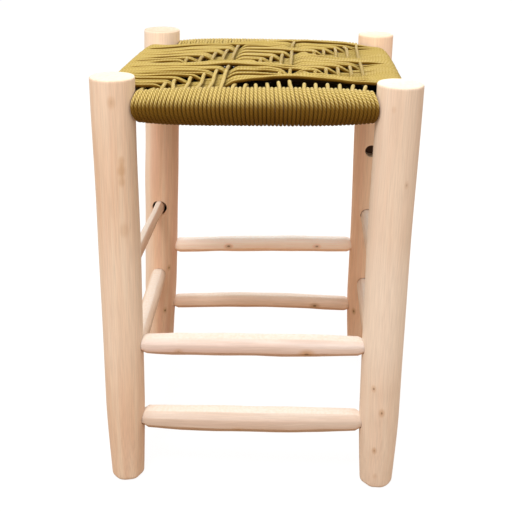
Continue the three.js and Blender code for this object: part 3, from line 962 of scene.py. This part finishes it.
# %% Valleys
row_starts = {2: 60, 3: 55, 12: 50, 10: 50, 15: 22}
row_ends = {7: 34, 19: 36}
usual_row_start = 12
usual_row_end = 13
block_starts = (8, 14)
left_block_reach = 130
last_left_weft = 7
last_left_reach = 24
front_rows = 19
middle_block_left = -45
usual_reach = 30
mouths = (1.9, 1.9, 1.2)
far_openings = (0.5, 2.2, 0.5)
near_openings = (1.5, 2.2, 1.5)
last_weft_share = 0.2
valleys = [
    [
        (-174, 18, 1.2), (-100, 18, 1.8), (-50, 18, 2.6), (-20, 18, 2.8), (10, 18, 2.8), (40, 18, 2.2),
        (58, 18, 0),
    ],
    [(-156, 24, 0), (-138, 24, 2.6), (-112, 24, 3.2), (-104, 24, 0)],
    [(-45, 6, 0), (-33, 6, 2.8), (0, 6, 3.0), (22, 6, 1.5), (30, 6, 0)],
    [(-45, 10, 0), (-33, 10, 3.0), (0, 10, 3.0), (20, 10, 2.4), (30, 10, 0)],
    [(-176, 49, 1.8), (-101, 49, 2.6), (-52, 49, 2.6)],
    [(-34, 46, 2.4), (0, 46, 2.0), (18, 46, 0)],
    [(136, 56, 0), (144, 56, 1.6), (152, 56, 1.4), (168, 56, 0)],
]


def block_of(weft):
    """Which of the three blocks of triangles a float's weft is in, from the left."""
    return sum(weft >= start for start in block_starts)


def reach_behind(weft, first, x):
    """How far to the left of x the valley behind a float runs."""
    if weft == last_left_weft:
        return last_left_reach
    if block_of(weft) == 0:
        return left_block_reach
    return x - middle_block_left if first > front_rows and block_of(weft) == 1 else usual_reach


for weft, spans in floats.items():
    block = block_of(weft)
    mouth = mouths[block]
    shut = last_weft_share if weft == weft_count - 1 else 1
    for first, end in spans:
        if end < warp_count:
            x = float(weft_x(weft, warp_first + warp_pitch * end))
            reach = reach_behind(weft, first, x)
            valleys.append(
                [
                    (x - reach, end, 0.0),
                    (x - reach * 0.8, end, far_openings[block]),
                    (x - reach * 0.35, end, near_openings[block]),
                    (x - 9, end, mouth * shut),
                    (x + 3, end, mouth * 0.9 * shut),
                    (x + 9, end, mouth * 0.8),
                    (x + row_ends.get(weft, usual_row_end), end, 0.0),
                ]
            )
        if first > 0:
            x = float(weft_x(weft, warp_first + warp_pitch * first))
            reach = row_starts.get(weft, usual_row_start)
            valleys.append(
                [(x - reach, first, 0.0), (x - 5, first, 1.6), (x + 4, first, 1.4), (x + 12, first, 0.0)]
            )
print("valleys", len(valleys))

# %% [markdown]
# Now the warps are drawn from above. Sixty curves drawn by hand would be hard to keep apart, so one table
# holds them all: a row of places for each warp, a millimetre apart. On the right the first nine were pushed
# back from the front rail and lie three deep, as a roll that hangs over the gap. Then each valley shoves
# its warps apart and lifts the one behind it, and the whole field fans and gathers as on the real seat. The
# field also starts further back on the right rail.

# %% Warps from above
half_span = 176.0
grid_x = np.arange(-half_span, half_span + 0.5, 1.0)
warp_numbers = np.arange(warp_count)
slant_share = 0.5
slant = slant_share * (grid_x[None, :] + half_span) / (2 * half_span)
warp_y = warp_first + warp_pitch * (warp_numbers[:, None] + slant - slant_share / 2)
roll_count = 9
roll_layers = 3
roll_rise = 1.0
roll_depth = 19.0
column_step = 4.9
layer_shift = 3.4
layer_drop = 4.2
roll_stations = (-45, -28, -20, -8, 5, 20, 38, 105, 142, 172)
rolled = np.interp(grid_x, roll_stations, (0, 0.05, 0.2, 0.45, 0.57, 0.9, 1, 1, 0.5, 0))
behind_roll = warp_y[roll_count].copy()
roll_z = np.zeros_like(warp_y)
for j in range(roll_count):
    layer = j % roll_layers
    column = j // roll_layers
    lay = behind_roll - roll_depth + column_step * column + layer_shift * layer
    warp_y[j] += (lay - warp_y[j]) * rolled
    roll_z[j] = roll_rise * rolled - layer_drop * layer * rolled**3
roll_z[roll_count] = 0.5 * rolled

push_width = 0.45
push_reach = 3.2
lift_behind = 0.65
drop_before = 0.45
spread = np.zeros_like(warp_y)
lift = np.zeros_like(warp_y)
for knots in valleys:
    xs, lines, openings = np.array(knots, float).T
    opening = np.interp(grid_x, xs, openings, left=0, right=0)
    steps = warp_numbers[:, None] + 0.5 - np.interp(grid_x, xs, lines)[None, :]
    push = np.tanh(steps / push_width) * np.exp(-np.abs(steps) / push_reach)
    spread += opening[None, :] * push
    behind = lift_behind * np.exp(-np.abs(steps) / 2.0)
    before = -drop_before * np.exp(-np.abs(steps) / 1.2)
    lift += opening[None, :] * np.where(steps > 0, behind, before)
warp_y += spread
fan = np.interp(warp_numbers, (0, 16, 28, 46, 59), (0, -3, 0, 8, 0))
warp_y += fan[:, None] * (fade(grid_x, -170, -40) * (1 - fade(grid_x, 60, 170)))[None, :]
gather = np.interp(warp_numbers, (0, 18, 22, 30, 59), (0, -10, -9, 0, 0))
warp_y += gather[:, None] * (1 - fade(grid_x, -110, -40))[None, :]
corner_pull = np.interp(warp_numbers, (22, 30, 49, 59), (0, -8, -20, -25))
warp_y += corner_pull[:, None] * (1 - fade(grid_x, -165, -80))[None, :]
field_back = -warp_first + cord_radius
right_squeeze_share = 0.085
warp_y += (field_back - warp_y) * right_squeeze_share * fade(grid_x, 110, 172)[None, :]
print("field runs from", warp_y.min().round(1), "to", warp_y.max().round(1))

# %% [markdown]
# Two warps can't share a place, so those that came too close are moved apart again, a little at a time, as
# a soft body's solver would. Then their heights follow. Warps under a float are pressed down, but one is
# held up where the last float ends. The last two ride on the back rail's wraps, each wanders a little, and
# warps that are still pressed together climb over each other by turns.

# %% Heights of the warps
closest = 2.4
easing_rounds = 40
for _ in range(easing_rounds):
    lack = np.maximum(0, closest - np.diff(warp_y[roll_count:], axis=0)) / 2
    warp_y[roll_count:-1] -= lack
    warp_y[roll_count + 1 :] += lack
smoothing_reach = 8
smoothing_width = 3.0
kernel = np.exp(-0.5 * (np.arange(-smoothing_reach, smoothing_reach + 1) / smoothing_width) ** 2)
kernel /= kernel.sum()


def smooth_rows(rows):
    """Each row smoothed along x."""
    wide = np.pad(rows, ((0, 0), (smoothing_reach, smoothing_reach)), mode="edge")
    return np.stack([np.convolve(row, kernel, "valid") for row in wide])


edge_share = np.interp(grid_x, (5, 40, 130, 165), (0, 1, 1, 0))
edge_shift = 4.0
edge_rises = {-1: 3.6, -2: 3.0}
warp_y[-2:] += edge_shift * edge_share
warp_y = smooth_rows(warp_y)
edge_warps = 8
held_up = {(19, 28): 0.7}
press_half_width = 2.2


def pressed_down(weft, j):
    """How deep a warp lies where a weft crosses it, which is less towards the back edge."""
    share = min(1, (warp_count - j) / edge_warps, held_up.get((weft, j), 1))
    return sunk * share if sunk_warps[weft, j] else 0.0


dip = np.zeros_like(warp_y)
for j in warp_numbers:
    stations = [(-half_span, 0.0)]
    for weft in range(weft_count):
        x = float(weft_x(weft, warp_first + warp_pitch * j))
        depth = pressed_down(weft, j)
        stations += [(x - press_half_width, depth), (x + press_half_width, depth)]
    stations.append((half_span, 0.0))
    xs, depths = np.array(stations).T
    dip[j] = np.interp(grid_x, xs, depths)


def ridge(middle, width, height, right_end):
    """A low ridge along the warps near a number, which runs out towards the right."""
    across = np.exp(-(((warp_numbers - middle) / width) ** 2))[:, None]
    return across * (1 - fade(grid_x, *right_end))[None, :] * height


warp_z = seat_height(grid_x[None, :] + 0 * warp_y, warp_y) - dip
warp_z = warp_z + ridge(20, 2.2, 0.4, (30, 55)) + ridge(54, 4.0, 1.5, (0, 60)) + smooth_rows(lift) + roll_z
for row, rise in edge_rises.items():
    warp_z[row] += rise * edge_share
hand_seed = 7
hand_stations = np.linspace(-half_span, half_span, 12)
hand_height = 0.4
unevenness = np.random.default_rng(hand_seed).normal(0, 1, (warp_count, len(hand_stations)))
for j in warp_numbers:
    wander = np.interp(grid_x, hand_stations, unevenness[j])
    warp_z[j] += hand_height * wander * (1 - fade(np.abs(grid_x), 150, 172))

spacing = np.diff(warp_y, axis=0)
apart = np.abs(np.diff(dip, axis=0))
pressed_cord = 4.1
climb = np.maximum(0, np.sqrt(np.maximum(0, pressed_cord**2 - spacing**2)) - apart)
climb[:roll_count] = 0
climb *= 1 - fade(np.abs(grid_x), 160, 176)[None, :]
raise_by = np.zeros_like(warp_z)
raise_by[1::2] = climb[0::2][: len(raise_by[1::2])]
raise_by[1:-1:2] = np.maximum(raise_by[1:-1:2], climb[1::2][: len(raise_by[1:-1:2])])
warp_z += smooth_rows(raise_by) * (1 - 2 * dip / sunk)
print("closest warps", round(float(spacing.min()), 2), "mm, highest climb", round(float(raise_by.max()), 2))

# %% [markdown]
# Each winding is written as one long line of points, as a Bezier curve's path would be drawn by hand, then
# evened out: resampled to a millimetre, smoothed as a cord's stiffness smooths it, given a slight wander of
# the hand, and sampled again at the spacing of its rings. The warp goes over the seat, down round the right
# rail, and back underneath.

# %% Warp winding
ring_step = 3.4
stiffness = 2.5
hand_reach = 14.0


def resampled(points, step):
    lengths = np.concatenate(([0], np.cumsum(np.linalg.norm(np.diff(points, axis=0), axis=1))))
    count = int(lengths[-1] / step) + 1
    places = np.linspace(0, lengths[-1], count)
    return np.stack([np.interp(places, lengths, points[:, k]) for k in range(3)], axis=1)


def blurred(values, sigma):
    """Values along a line, smoothed over sigma samples, with the ends kept."""
    reach = int(4 * sigma)
    kernel = np.exp(-0.5 * (np.arange(-reach, reach + 1) / sigma) ** 2)
    kernel /= kernel.sum()
    padded = np.pad(values, ((reach, reach), (0, 0)), mode="edge")
    return np.stack([np.convolve(padded[:, k], kernel, "valid") for k in range(3)], axis=1)


def laid_cord(points, seed, wander):
    """The line of a cord through the points, with the given wander of the hand."""
    line = blurred(resampled(np.array(points), 1.0), stiffness)
    random = np.random.default_rng(seed)
    hand = blurred(random.normal(0, 1, line.shape), hand_reach)
    hand *= wander / hand.std()
    return resampled(line + hand, ring_step)


def half_turn(rail, place, first, last, outward, count=40):
    """Points round a side rail at one place along it. Outward is -1 for the left rail and 1 for the right."""
    middle, radius = rail_at(rail, np.full(count, place))
    angle = np.radians(np.linspace(first, last, count))
    reach = radius + lay_distance
    spokes = np.stack([outward * np.cos(angle) * reach, 0 * angle, np.sin(angle) * reach], axis=1)
    return middle + spokes


tail = 24.0
warp_points = []
under_left = half_turn(rails["left"], warp_first - warp_pitch / 4, -90, 90, -1)
warp_points.append(under_left[:1] + (tail, 0, 0))
warp_points.append(under_left)
for j in warp_numbers:
    left_middle, _ = rail_at(rails["left"], warp_y[j, 0])
    right_middle, _ = rail_at(rails["right"], warp_y[j, -1])
    inside = (grid_x > left_middle[0] + 1) & (grid_x < right_middle[0] - 1)
    warp_points.append(np.stack([grid_x, warp_y[j], warp_z[j]], axis=1)[inside])
    warp_points.append(half_turn(rails["right"], float(warp_y[j, -1]), 90, -90, 1))
    if j + 1 < warp_count:
        warp_points.append(half_turn(rails["left"], float(warp_y[j + 1, 0]), -90, 90, -1))
warp_points.append(warp_points[-1][-1:] - (tail, 0, 0))
warp_line = laid_cord(np.concatenate(warp_points), seed=5, wander=0.16)
print("warp winding", round(len(warp_line) * ring_step / metre, 1), "m")

# %% [markdown]
# The weft starts at the right. Round the front rail it makes two and a half turns side by side, runs back
# under and over the warps, makes two and a half turns round the back rail, and returns underneath to the
# next band. The wraps sag a little below the rail, and beside a leg they follow its roundness. Behind the
# front rail the weft runs bare as far as the first warps, which is further under the roll.

# %% Weft winding
band_turns = 2.5
wrap_step = 4.85
wrap_points = 300
sag = 1.5
leg_mean_radius = 27.8
outermost_wrap = 145
roll_press = 7.0
float_half_width = 1.2
least_advance = 0.05
seat_underside = ((-175, 175), (150.0, 120.0, -120.0, -150.0))
warp_rows = warp_first + warp_pitch * warp_numbers
bare_reach = np.interp(np.arange(weft_count), (7, 8, 9, 10, 11, 12, 13, 14), (0, 18, 21, 23, 27, 37, 46, 28))
front_angles = np.linspace(-90, -90 + 360 * band_turns, wrap_points)
back_angles = np.linspace(90, 90 - 360 * band_turns, wrap_points)


def wraps(rail, places, angles, outward):
    """Points round the front or back rail. Outward is -1 for the front rail and 1 for the back."""
    middle, radius = rail_at(rail, places)
    turn = np.radians(angles)
    reach = radius + lay_distance + sag * np.maximum(0, -np.sin(turn))
    beyond = reach * np.maximum(0, np.cos(turn))
    splay = (leg_mean_radius - np.sqrt(leg_mean_radius**2 - beyond**2)) * places / outermost_wrap
    spokes = np.stack([splay, outward * np.cos(turn) * reach, np.sin(turn) * reach], axis=1)
    return middle + spokes


def float_bulge(weft, j):
    """How far a float humps up over one of its warps, most at its middle."""
    for first, end in floats.get(weft, ()):
        if first <= j < end:
            share = (j - first + 1) / (end - first + 1)
            return bulge * 4 * share * (1 - share)
    return 0.0


def across_seat(weft):
    """Points of a weft from the first warp to the last, under most of them and over those it floats on."""
    rows = []
    column = [np.interp(weft_x(weft, row), grid_x, warp_y[j]) for j, row in zip(warp_numbers, warp_rows)]
    for j, y in enumerate(column):
        x = weft_x(weft, y)
        top = seat_height(x, y)
        under_roll = np.interp(x, grid_x, rolled) * min(1, max(0, roll_count + 2 - j) / 3)
        floating = top - sunk + crossing + proud
        height = floating if sunk_warps[weft, j] else top - crossing - roll_press * under_roll
        height += float_bulge(weft, j)
        rows += [(x, y - float_half_width, height), (x, y + float_half_width, height)]
    rows = np.array(rows)
    return rows[np.concatenate(([True], np.diff(rows[:, 1]) > least_advance))]


def under_seat(start, end):
    """The run under the seat from one band's last back wrap to the next one's first front wrap."""
    widths, ys = seat_underside
    points = []
    for y in ys:
        x = np.interp(y, (end[1], start[1]), (end[0], start[0]))
        lows = []
        for name in ("left", "right"):
            middle, radius = rail_at(rails[name], np.array(y))
            lows.append(middle[2] - radius - lay_distance)
        points.append((x, y, np.interp(x, widths, lows) - crossing))
    return np.array(points)


first_front = wraps(rails["front"], weft_places[-1:] + half_band, np.array([-90.0]), -1)
weft_points = [first_front + (0, tail, 0)]
for weft in reversed(range(weft_count)):
    place = weft_places[weft]
    front_places = place + wrap_step * (1 - front_angles / 360)
    front_wraps = wraps(rails["front"], front_places, front_angles, -1)
    if weft < weft_count - 1:
        weft_points.append(under_seat(weft_points[-1][-1], front_wraps[0]))
    weft_points.append(front_wraps)
    if bare_reach[weft]:
        rail_top = wraps(rails["front"], np.full(2, place - half_band), np.array([90.0, 90.0]), -1)
        bare = rail_top + np.outer((0.5, 1.0), (0, bare_reach[weft], 0))
        bare[:, 0] = weft_x(weft, bare[:, 1])
        weft_points.append(bare)
    weft_points.append(across_seat(weft))
    back_places = place + back_way[weft] * np.linspace(half_band, -half_band, wrap_points)
    weft_points.append(wraps(rails["back"], back_places, back_angles, 1))
weft_points.append(weft_points[-1][-1:] - (0, tail, 0))
weft_line = laid_cord(np.concatenate(weft_points), seed=6, wander=0.08)
print("weft winding", round(len(weft_line) * ring_step / metre, 1), "m")

# %% [markdown]
# The cord is a shop-bought braid in olive yellow: two sets of strands that cross round a core and leave
# small diamonds with pits between. Modelled strands would need millions of faces, so the pattern is drawn on
# coordinates that run along and round the cord, and lifts the surface as a bump; its pits get painted shade
# and its crests a painted glint. What faces up stays olive, and what faces away from the light above gets
# painted brown shade. The warps lie smoother than the wefts, so each winding has its own finish, with its own
# two limits of painted shade, tone and contrast.

# %% Cord finish
strand_pitch = 0.0043
strands = 4
second_lay_share = 0.4
cord_olive = (0.46, 0.335, 0.080)
cord_yellow = (0.54, 0.40, 0.105)
cord_fuzz = (0.66, 0.52, 0.20)
# Painted glint for the braid's crests.
cord_glint = (0.84, 0.68, 0.31)
# Painted shade: the braid's pits, the sides that face away from the light, and the cords deep in the weave.
pit_shade_olive = (0.11, 0.06, 0.008)
cord_shade_brown = (0.15, 0.072, 0.004)
pit_shade_brown = (0.06, 0.025, 0.002)
deep_shade = (0.012, 0.006, 0.002)


def cord_finish(name, pale_and_lit, shaded_below, tone, contrast):
    """The braid. It is olive where it faces up by more than the first number, with painted brown shade below
    the second.
    """
    material, finish, shader = new_material(name)
    unwrapped = finish.add("ShaderNodeUVMap", {"uv_map": "UVMap"})
    length_along, around, _ = finish.parts(unwrapped)
    slide = length_along * (2 * math.pi / strand_pitch)
    right_laid = finish.maths("SINE", slide + around * (2 * math.pi * strands))
    left_laid = finish.maths("SINE", slide - around * (2 * math.pi * strands))
    crest = finish.maths("MAXIMUM", right_laid, left_laid * second_lay_share)
    # Painted shade in the braid's pits.
    pit_shade = finish.ramp(crest, 0.15, -0.85)
    fine = finish.noise(finish.vector(length_along * 900, around * 40, 0.0), 2.0)
    worn = finish.noise(finish.vector(length_along * 9, around * 1.5, 0.0), 3.0)
    olive = finish.blend(finish.ramp(worn, 0.3, 0.7), cord_olive, cord_yellow)
    olive = finish.blend(finish.ramp(fine, 0.45, 0.8) * 0.3, olive, cord_fuzz)
    olive = finish.blend(pit_shade * (0.9 * contrast), olive, pit_shade_olive)
    olive = finish.vector_maths("SCALE", {0: olive, "Scale": tone})
    olive = finish.blend(finish.ramp(crest, 0.35, 0.95) * (0.85 * contrast), olive, cord_glint)

    # Painted shade: faces that turn away from the light above go brown, and places deep in the weave go
    # nearly black.
    face_x, face_y, face_z = finish.parts(finish.add("ShaderNodeTexCoord", output="Normal"))
    steepness = finish.maths("SQRT", face_y * face_y + face_z * face_z + face_x * face_x * 0.3)
    facing_up = face_z / steepness
    painted_shade = finish.add("ShaderNodeAttribute", {"attribute_name": "painted_shade"}, output="Fac")
    shaded_side = finish.maths("MAXIMUM", finish.ramp(facing_up, pale_and_lit, shaded_below), painted_shade)
    brown = finish.blend(pit_shade * 0.6, cord_shade_brown, pit_shade_brown)
    olive = finish.blend(shaded_side * 0.95, olive, brown)
    olive = finish.blend(finish.ramp(painted_shade, 0.2, 1.0), olive, deep_shade)
    finish.feed(shader.inputs["Base Color"], olive)
    finish.feed(shader.inputs["Roughness"], finish.ramp(crest, -0.5, 0.9, 0.75, 0.55))
    shader.inputs["Specular IOR Level"].default_value = 0.07
    bump = finish.bump(0.8 * contrast**0.5, 0.0005, crest * 0.8 + fine * 0.25)
    finish.feed(shader.inputs["Normal"], bump)
    return material


cord_materials = {
    "warp": cord_finish("olive_braid_warp", 0.88, 0.40, 0.87, 0.42),
    "weft": cord_finish("olive_braid_weft", 0.64, 0.04, 0.90, 1.0),
}
print("cord finishes", list(cord_materials))

# %% [markdown]
# A curve with a round bevel draws a cord along each line, and becomes a mesh so that its ends can be closed
# and its places marked. Light hardly reaches the cords below the top of the weave. Under a surround as
# white as this they would still look clear, so each place also carries painted shade by how deep it lies,
# and the weft over the seat gets a little painted shade too. Each winding is parted under the seat into
# lengths that stay light enough for a single mesh.

# %% Cord lengths
shade_top = 7.5
shade_bottom = 10.5
roll_top_cut = 3.5
roll_bottom_cut = 4.8
field_half_width = 170
field_half_depth = 147
top_half_depth = 140
weld_distance = 1e-6
parting_height = 556
parting_reach = 150


def shade_depth(corners, seat_top_shade):
    """Painted shade for each place, from 0 to 1, by how deep it lies below the weave's top, and on top of the
    seat no less than the second argument.
    """
    x, y, z = (corners * metre - seat_origin).T
    roll_back = np.interp(x, grid_x, warp_y[roll_count])
    behind_front = y > np.interp(x, grid_x, warp_y[0]) - 3
    in_roll = np.interp(x, grid_x, rolled) * (y < roll_back) * behind_front
    depth = seat_height(x, y) + cord_radius + roll_rise * in_roll - z
    deep = fade(depth, shade_top - roll_top_cut * in_roll, shade_bottom - roll_bottom_cut * in_roll)
    between_sides = np.abs(x) < field_half_width
    in_field = (np.abs(y) < field_half_depth) & between_sides & behind_front
    on_seat = (np.abs(y) < top_half_depth) & between_sides & (y > roll_back)
    return np.maximum(deep * in_field, seat_top_shade * on_seat)


def cord_piece(name, line, material, seat_top_shade, replaced):
    """A round cord along the line, with coordinates along and round it."""
    curve = bpy.data.curves.new(name, "CURVE")
    curve.dimensions = "3D"
    spline = curve.splines.new("POLY")
    spline.points.add(len(line) - 1)
    places = np.concatenate(((line + seat_origin) / metre, np.ones((len(line), 1))), axis=1)
    spline.points.foreach_set("co", places.astype(np.float32).ravel())
    curve.bevel_depth = cord_radius / metre
    curve.bevel_resolution = 3
    curve.use_fill_caps = True
    drawn = bpy.data.objects.new(name + "_line", curve)
    bpy.context.collection.objects.link(drawn)
    mesh = bpy.data.meshes.new_from_object(drawn)
    bpy.data.objects.remove(drawn)
    closed = bmesh.new()
    closed.from_mesh(mesh)
    bmesh.ops.remove_doubles(closed, verts=closed.verts, dist=weld_distance)
    closed.to_mesh(mesh)
    closed.free()
    # Painted shade for each place, read by the cord's finish.
    shade = mesh.attributes.new("painted_shade", "FLOAT", "POINT")
    shade.data.foreach_set("value", shade_depth(corners_of(mesh), seat_top_shade).astype(np.float32))
    length = np.linalg.norm(np.diff(line, axis=0), axis=1).sum() / metre
    layer = mesh.uv_layers["UVMap"].data
    flat = np.empty(len(layer) * 2, np.float32)
    layer.foreach_get("uv", flat)
    flat[0::2] *= length
    layer.foreach_set("uv", flat)
    return as_object(name, mesh, material, "olive_cord", replaced)


def cut_points(line, pieces):
    """Where to part a winding into lengths, under the seat near the middle."""
    cuts = [0]
    for k in range(1, pieces):
        nearby = np.arange(len(line) * k // pieces, len(line) - 1)
        x, y, z = np.abs(line[nearby]).T
        below = (z < parting_height) & (x < parting_reach) & (y < parting_reach)
        cuts.append(int(nearby[np.argmax(below)]))
    return [*cuts, len(line) - 1]


# The weft over the seat also gets a little painted shade.
for stem, line, pieces, seat_top_shade, replaced in (
    ("warp", warp_line, 3, 0.0, "warp_cord"),
    ("weft", weft_line, 2, 0.3, "weft_cord"),
):
    ends = cut_points(line, pieces)
    for k, (first, last) in enumerate(zip(ends, ends[1:])):
        length_name = f"{stem}_length_{k + 1}"
        piece = cord_piece(length_name, line[first : last + 1], cord_materials[stem], seat_top_shade, replaced)
        print(piece.name, len(piece.data.polygons), "faces")

# %% [markdown]
# The stool stands on white. A bright floor would throw its light back onto the stool, so the floor only
# looks white to the camera, keeps a trace of shadow, and is a dim warm brown to every other ray. The
# surround is warm below and nearly white above, and plain white where the camera, a reflection or a clear
# surface looks at it.

# %% Floor and surround
floor_half_size = 30
floor_glow = 0.93
shadow_trace = (0.1, 0.1, 0.1)
floor_brown = (0.38, 0.28, 0.20)
surround_low = (0.86, 0.72, 0.60)
surround_high = (0.98, 0.95, 0.91)
white = (1, 1, 1)
floor_mesh = bpy.data.meshes.new("floor")
floor_shape = bmesh.new()
bmesh.ops.create_grid(floor_shape, x_segments=1, y_segments=1, size=floor_half_size)
floor_shape.to_mesh(floor_mesh)
floor_shape.free()
floor = bpy.data.objects.new("floor", floor_mesh)
bpy.context.collection.objects.link(floor)
floor_material = bpy.data.materials.new("white_floor")
floor_material.use_nodes = True
tree = floor_material.node_tree
tree.nodes.remove(tree.nodes["Principled BSDF"])
finish = Finish(tree)
seen = finish.add("ShaderNodeLightPath", output="Is Camera Ray")
glow = finish.add("ShaderNodeEmission", {}, {"Color": white, "Strength": floor_glow})
trace = finish.add("ShaderNodeBsdfDiffuse", {}, {"Color": shadow_trace})
shown = finish.add("ShaderNodeAddShader", {}, {0: glow, 1: trace})
unseen = finish.add("ShaderNodeBsdfDiffuse", {}, {"Color": floor_brown})
both = finish.add("ShaderNodeMixShader", {}, {0: seen, 1: unseen, 2: shown})
finish.feed(tree.nodes["Material Output"].inputs["Surface"], both)
floor_mesh.materials.append(floor_material)

world = bpy.data.worlds.new("surround")
bpy.context.scene.world = world
world.use_nodes = True
tree = world.node_tree
finish = Finish(tree)
height = finish.parts(finish.add("ShaderNodeTexCoord", output="Generated"))[2]
surround = finish.blend(finish.ramp(height, -0.1, 0.9), surround_low, surround_high)
white_rays = finish.add("ShaderNodeLightPath", output="Is Camera Ray")
for kind in ("Is Glossy Ray", "Is Transmission Ray"):
    white_rays = finish.maths("MAXIMUM", white_rays, finish.add("ShaderNodeLightPath", output=kind))
background = tree.nodes["Background"]
finish.feed(background.inputs["Color"], finish.blend(white_rays, surround, white))
background.inputs["Strength"].default_value = 1.0
print("floor and surround set")

# %% [markdown]
# One large soft light from the upper left and front is the key, and a weaker one from behind lifts the back
# legs. A sun would give harder edges than the picture has. The plain Standard view keeps the colours as
# mixed.

# %% Lights
def soft_light(name, place, target, size, power, colour):
    """A round lamp at a place, aimed at a target."""
    data = bpy.data.lights.new(name, "AREA")
    data.shape = "DISK"
    data.size = size
    data.energy = power
    data.color = colour
    light = bpy.data.objects.new(name, data)
    bpy.context.collection.objects.link(light)
    light.location = place
    aim = Vector(target) - Vector(place)
    light.rotation_euler = aim.to_track_quat("-Z", "Y").to_euler()


soft_light("key", (-0.45, -1.25, 2.65), (0, 0, 0.4), size=0.9, power=42, colour=(1.0, 0.98, 0.95))
soft_light("back", (0.1, 1.9, 1.0), (0, 0, 0.2), size=1.2, power=14, colour=(1.0, 0.96, 0.92))
bpy.context.scene.view_settings.view_transform = "Standard"
print("lights set")
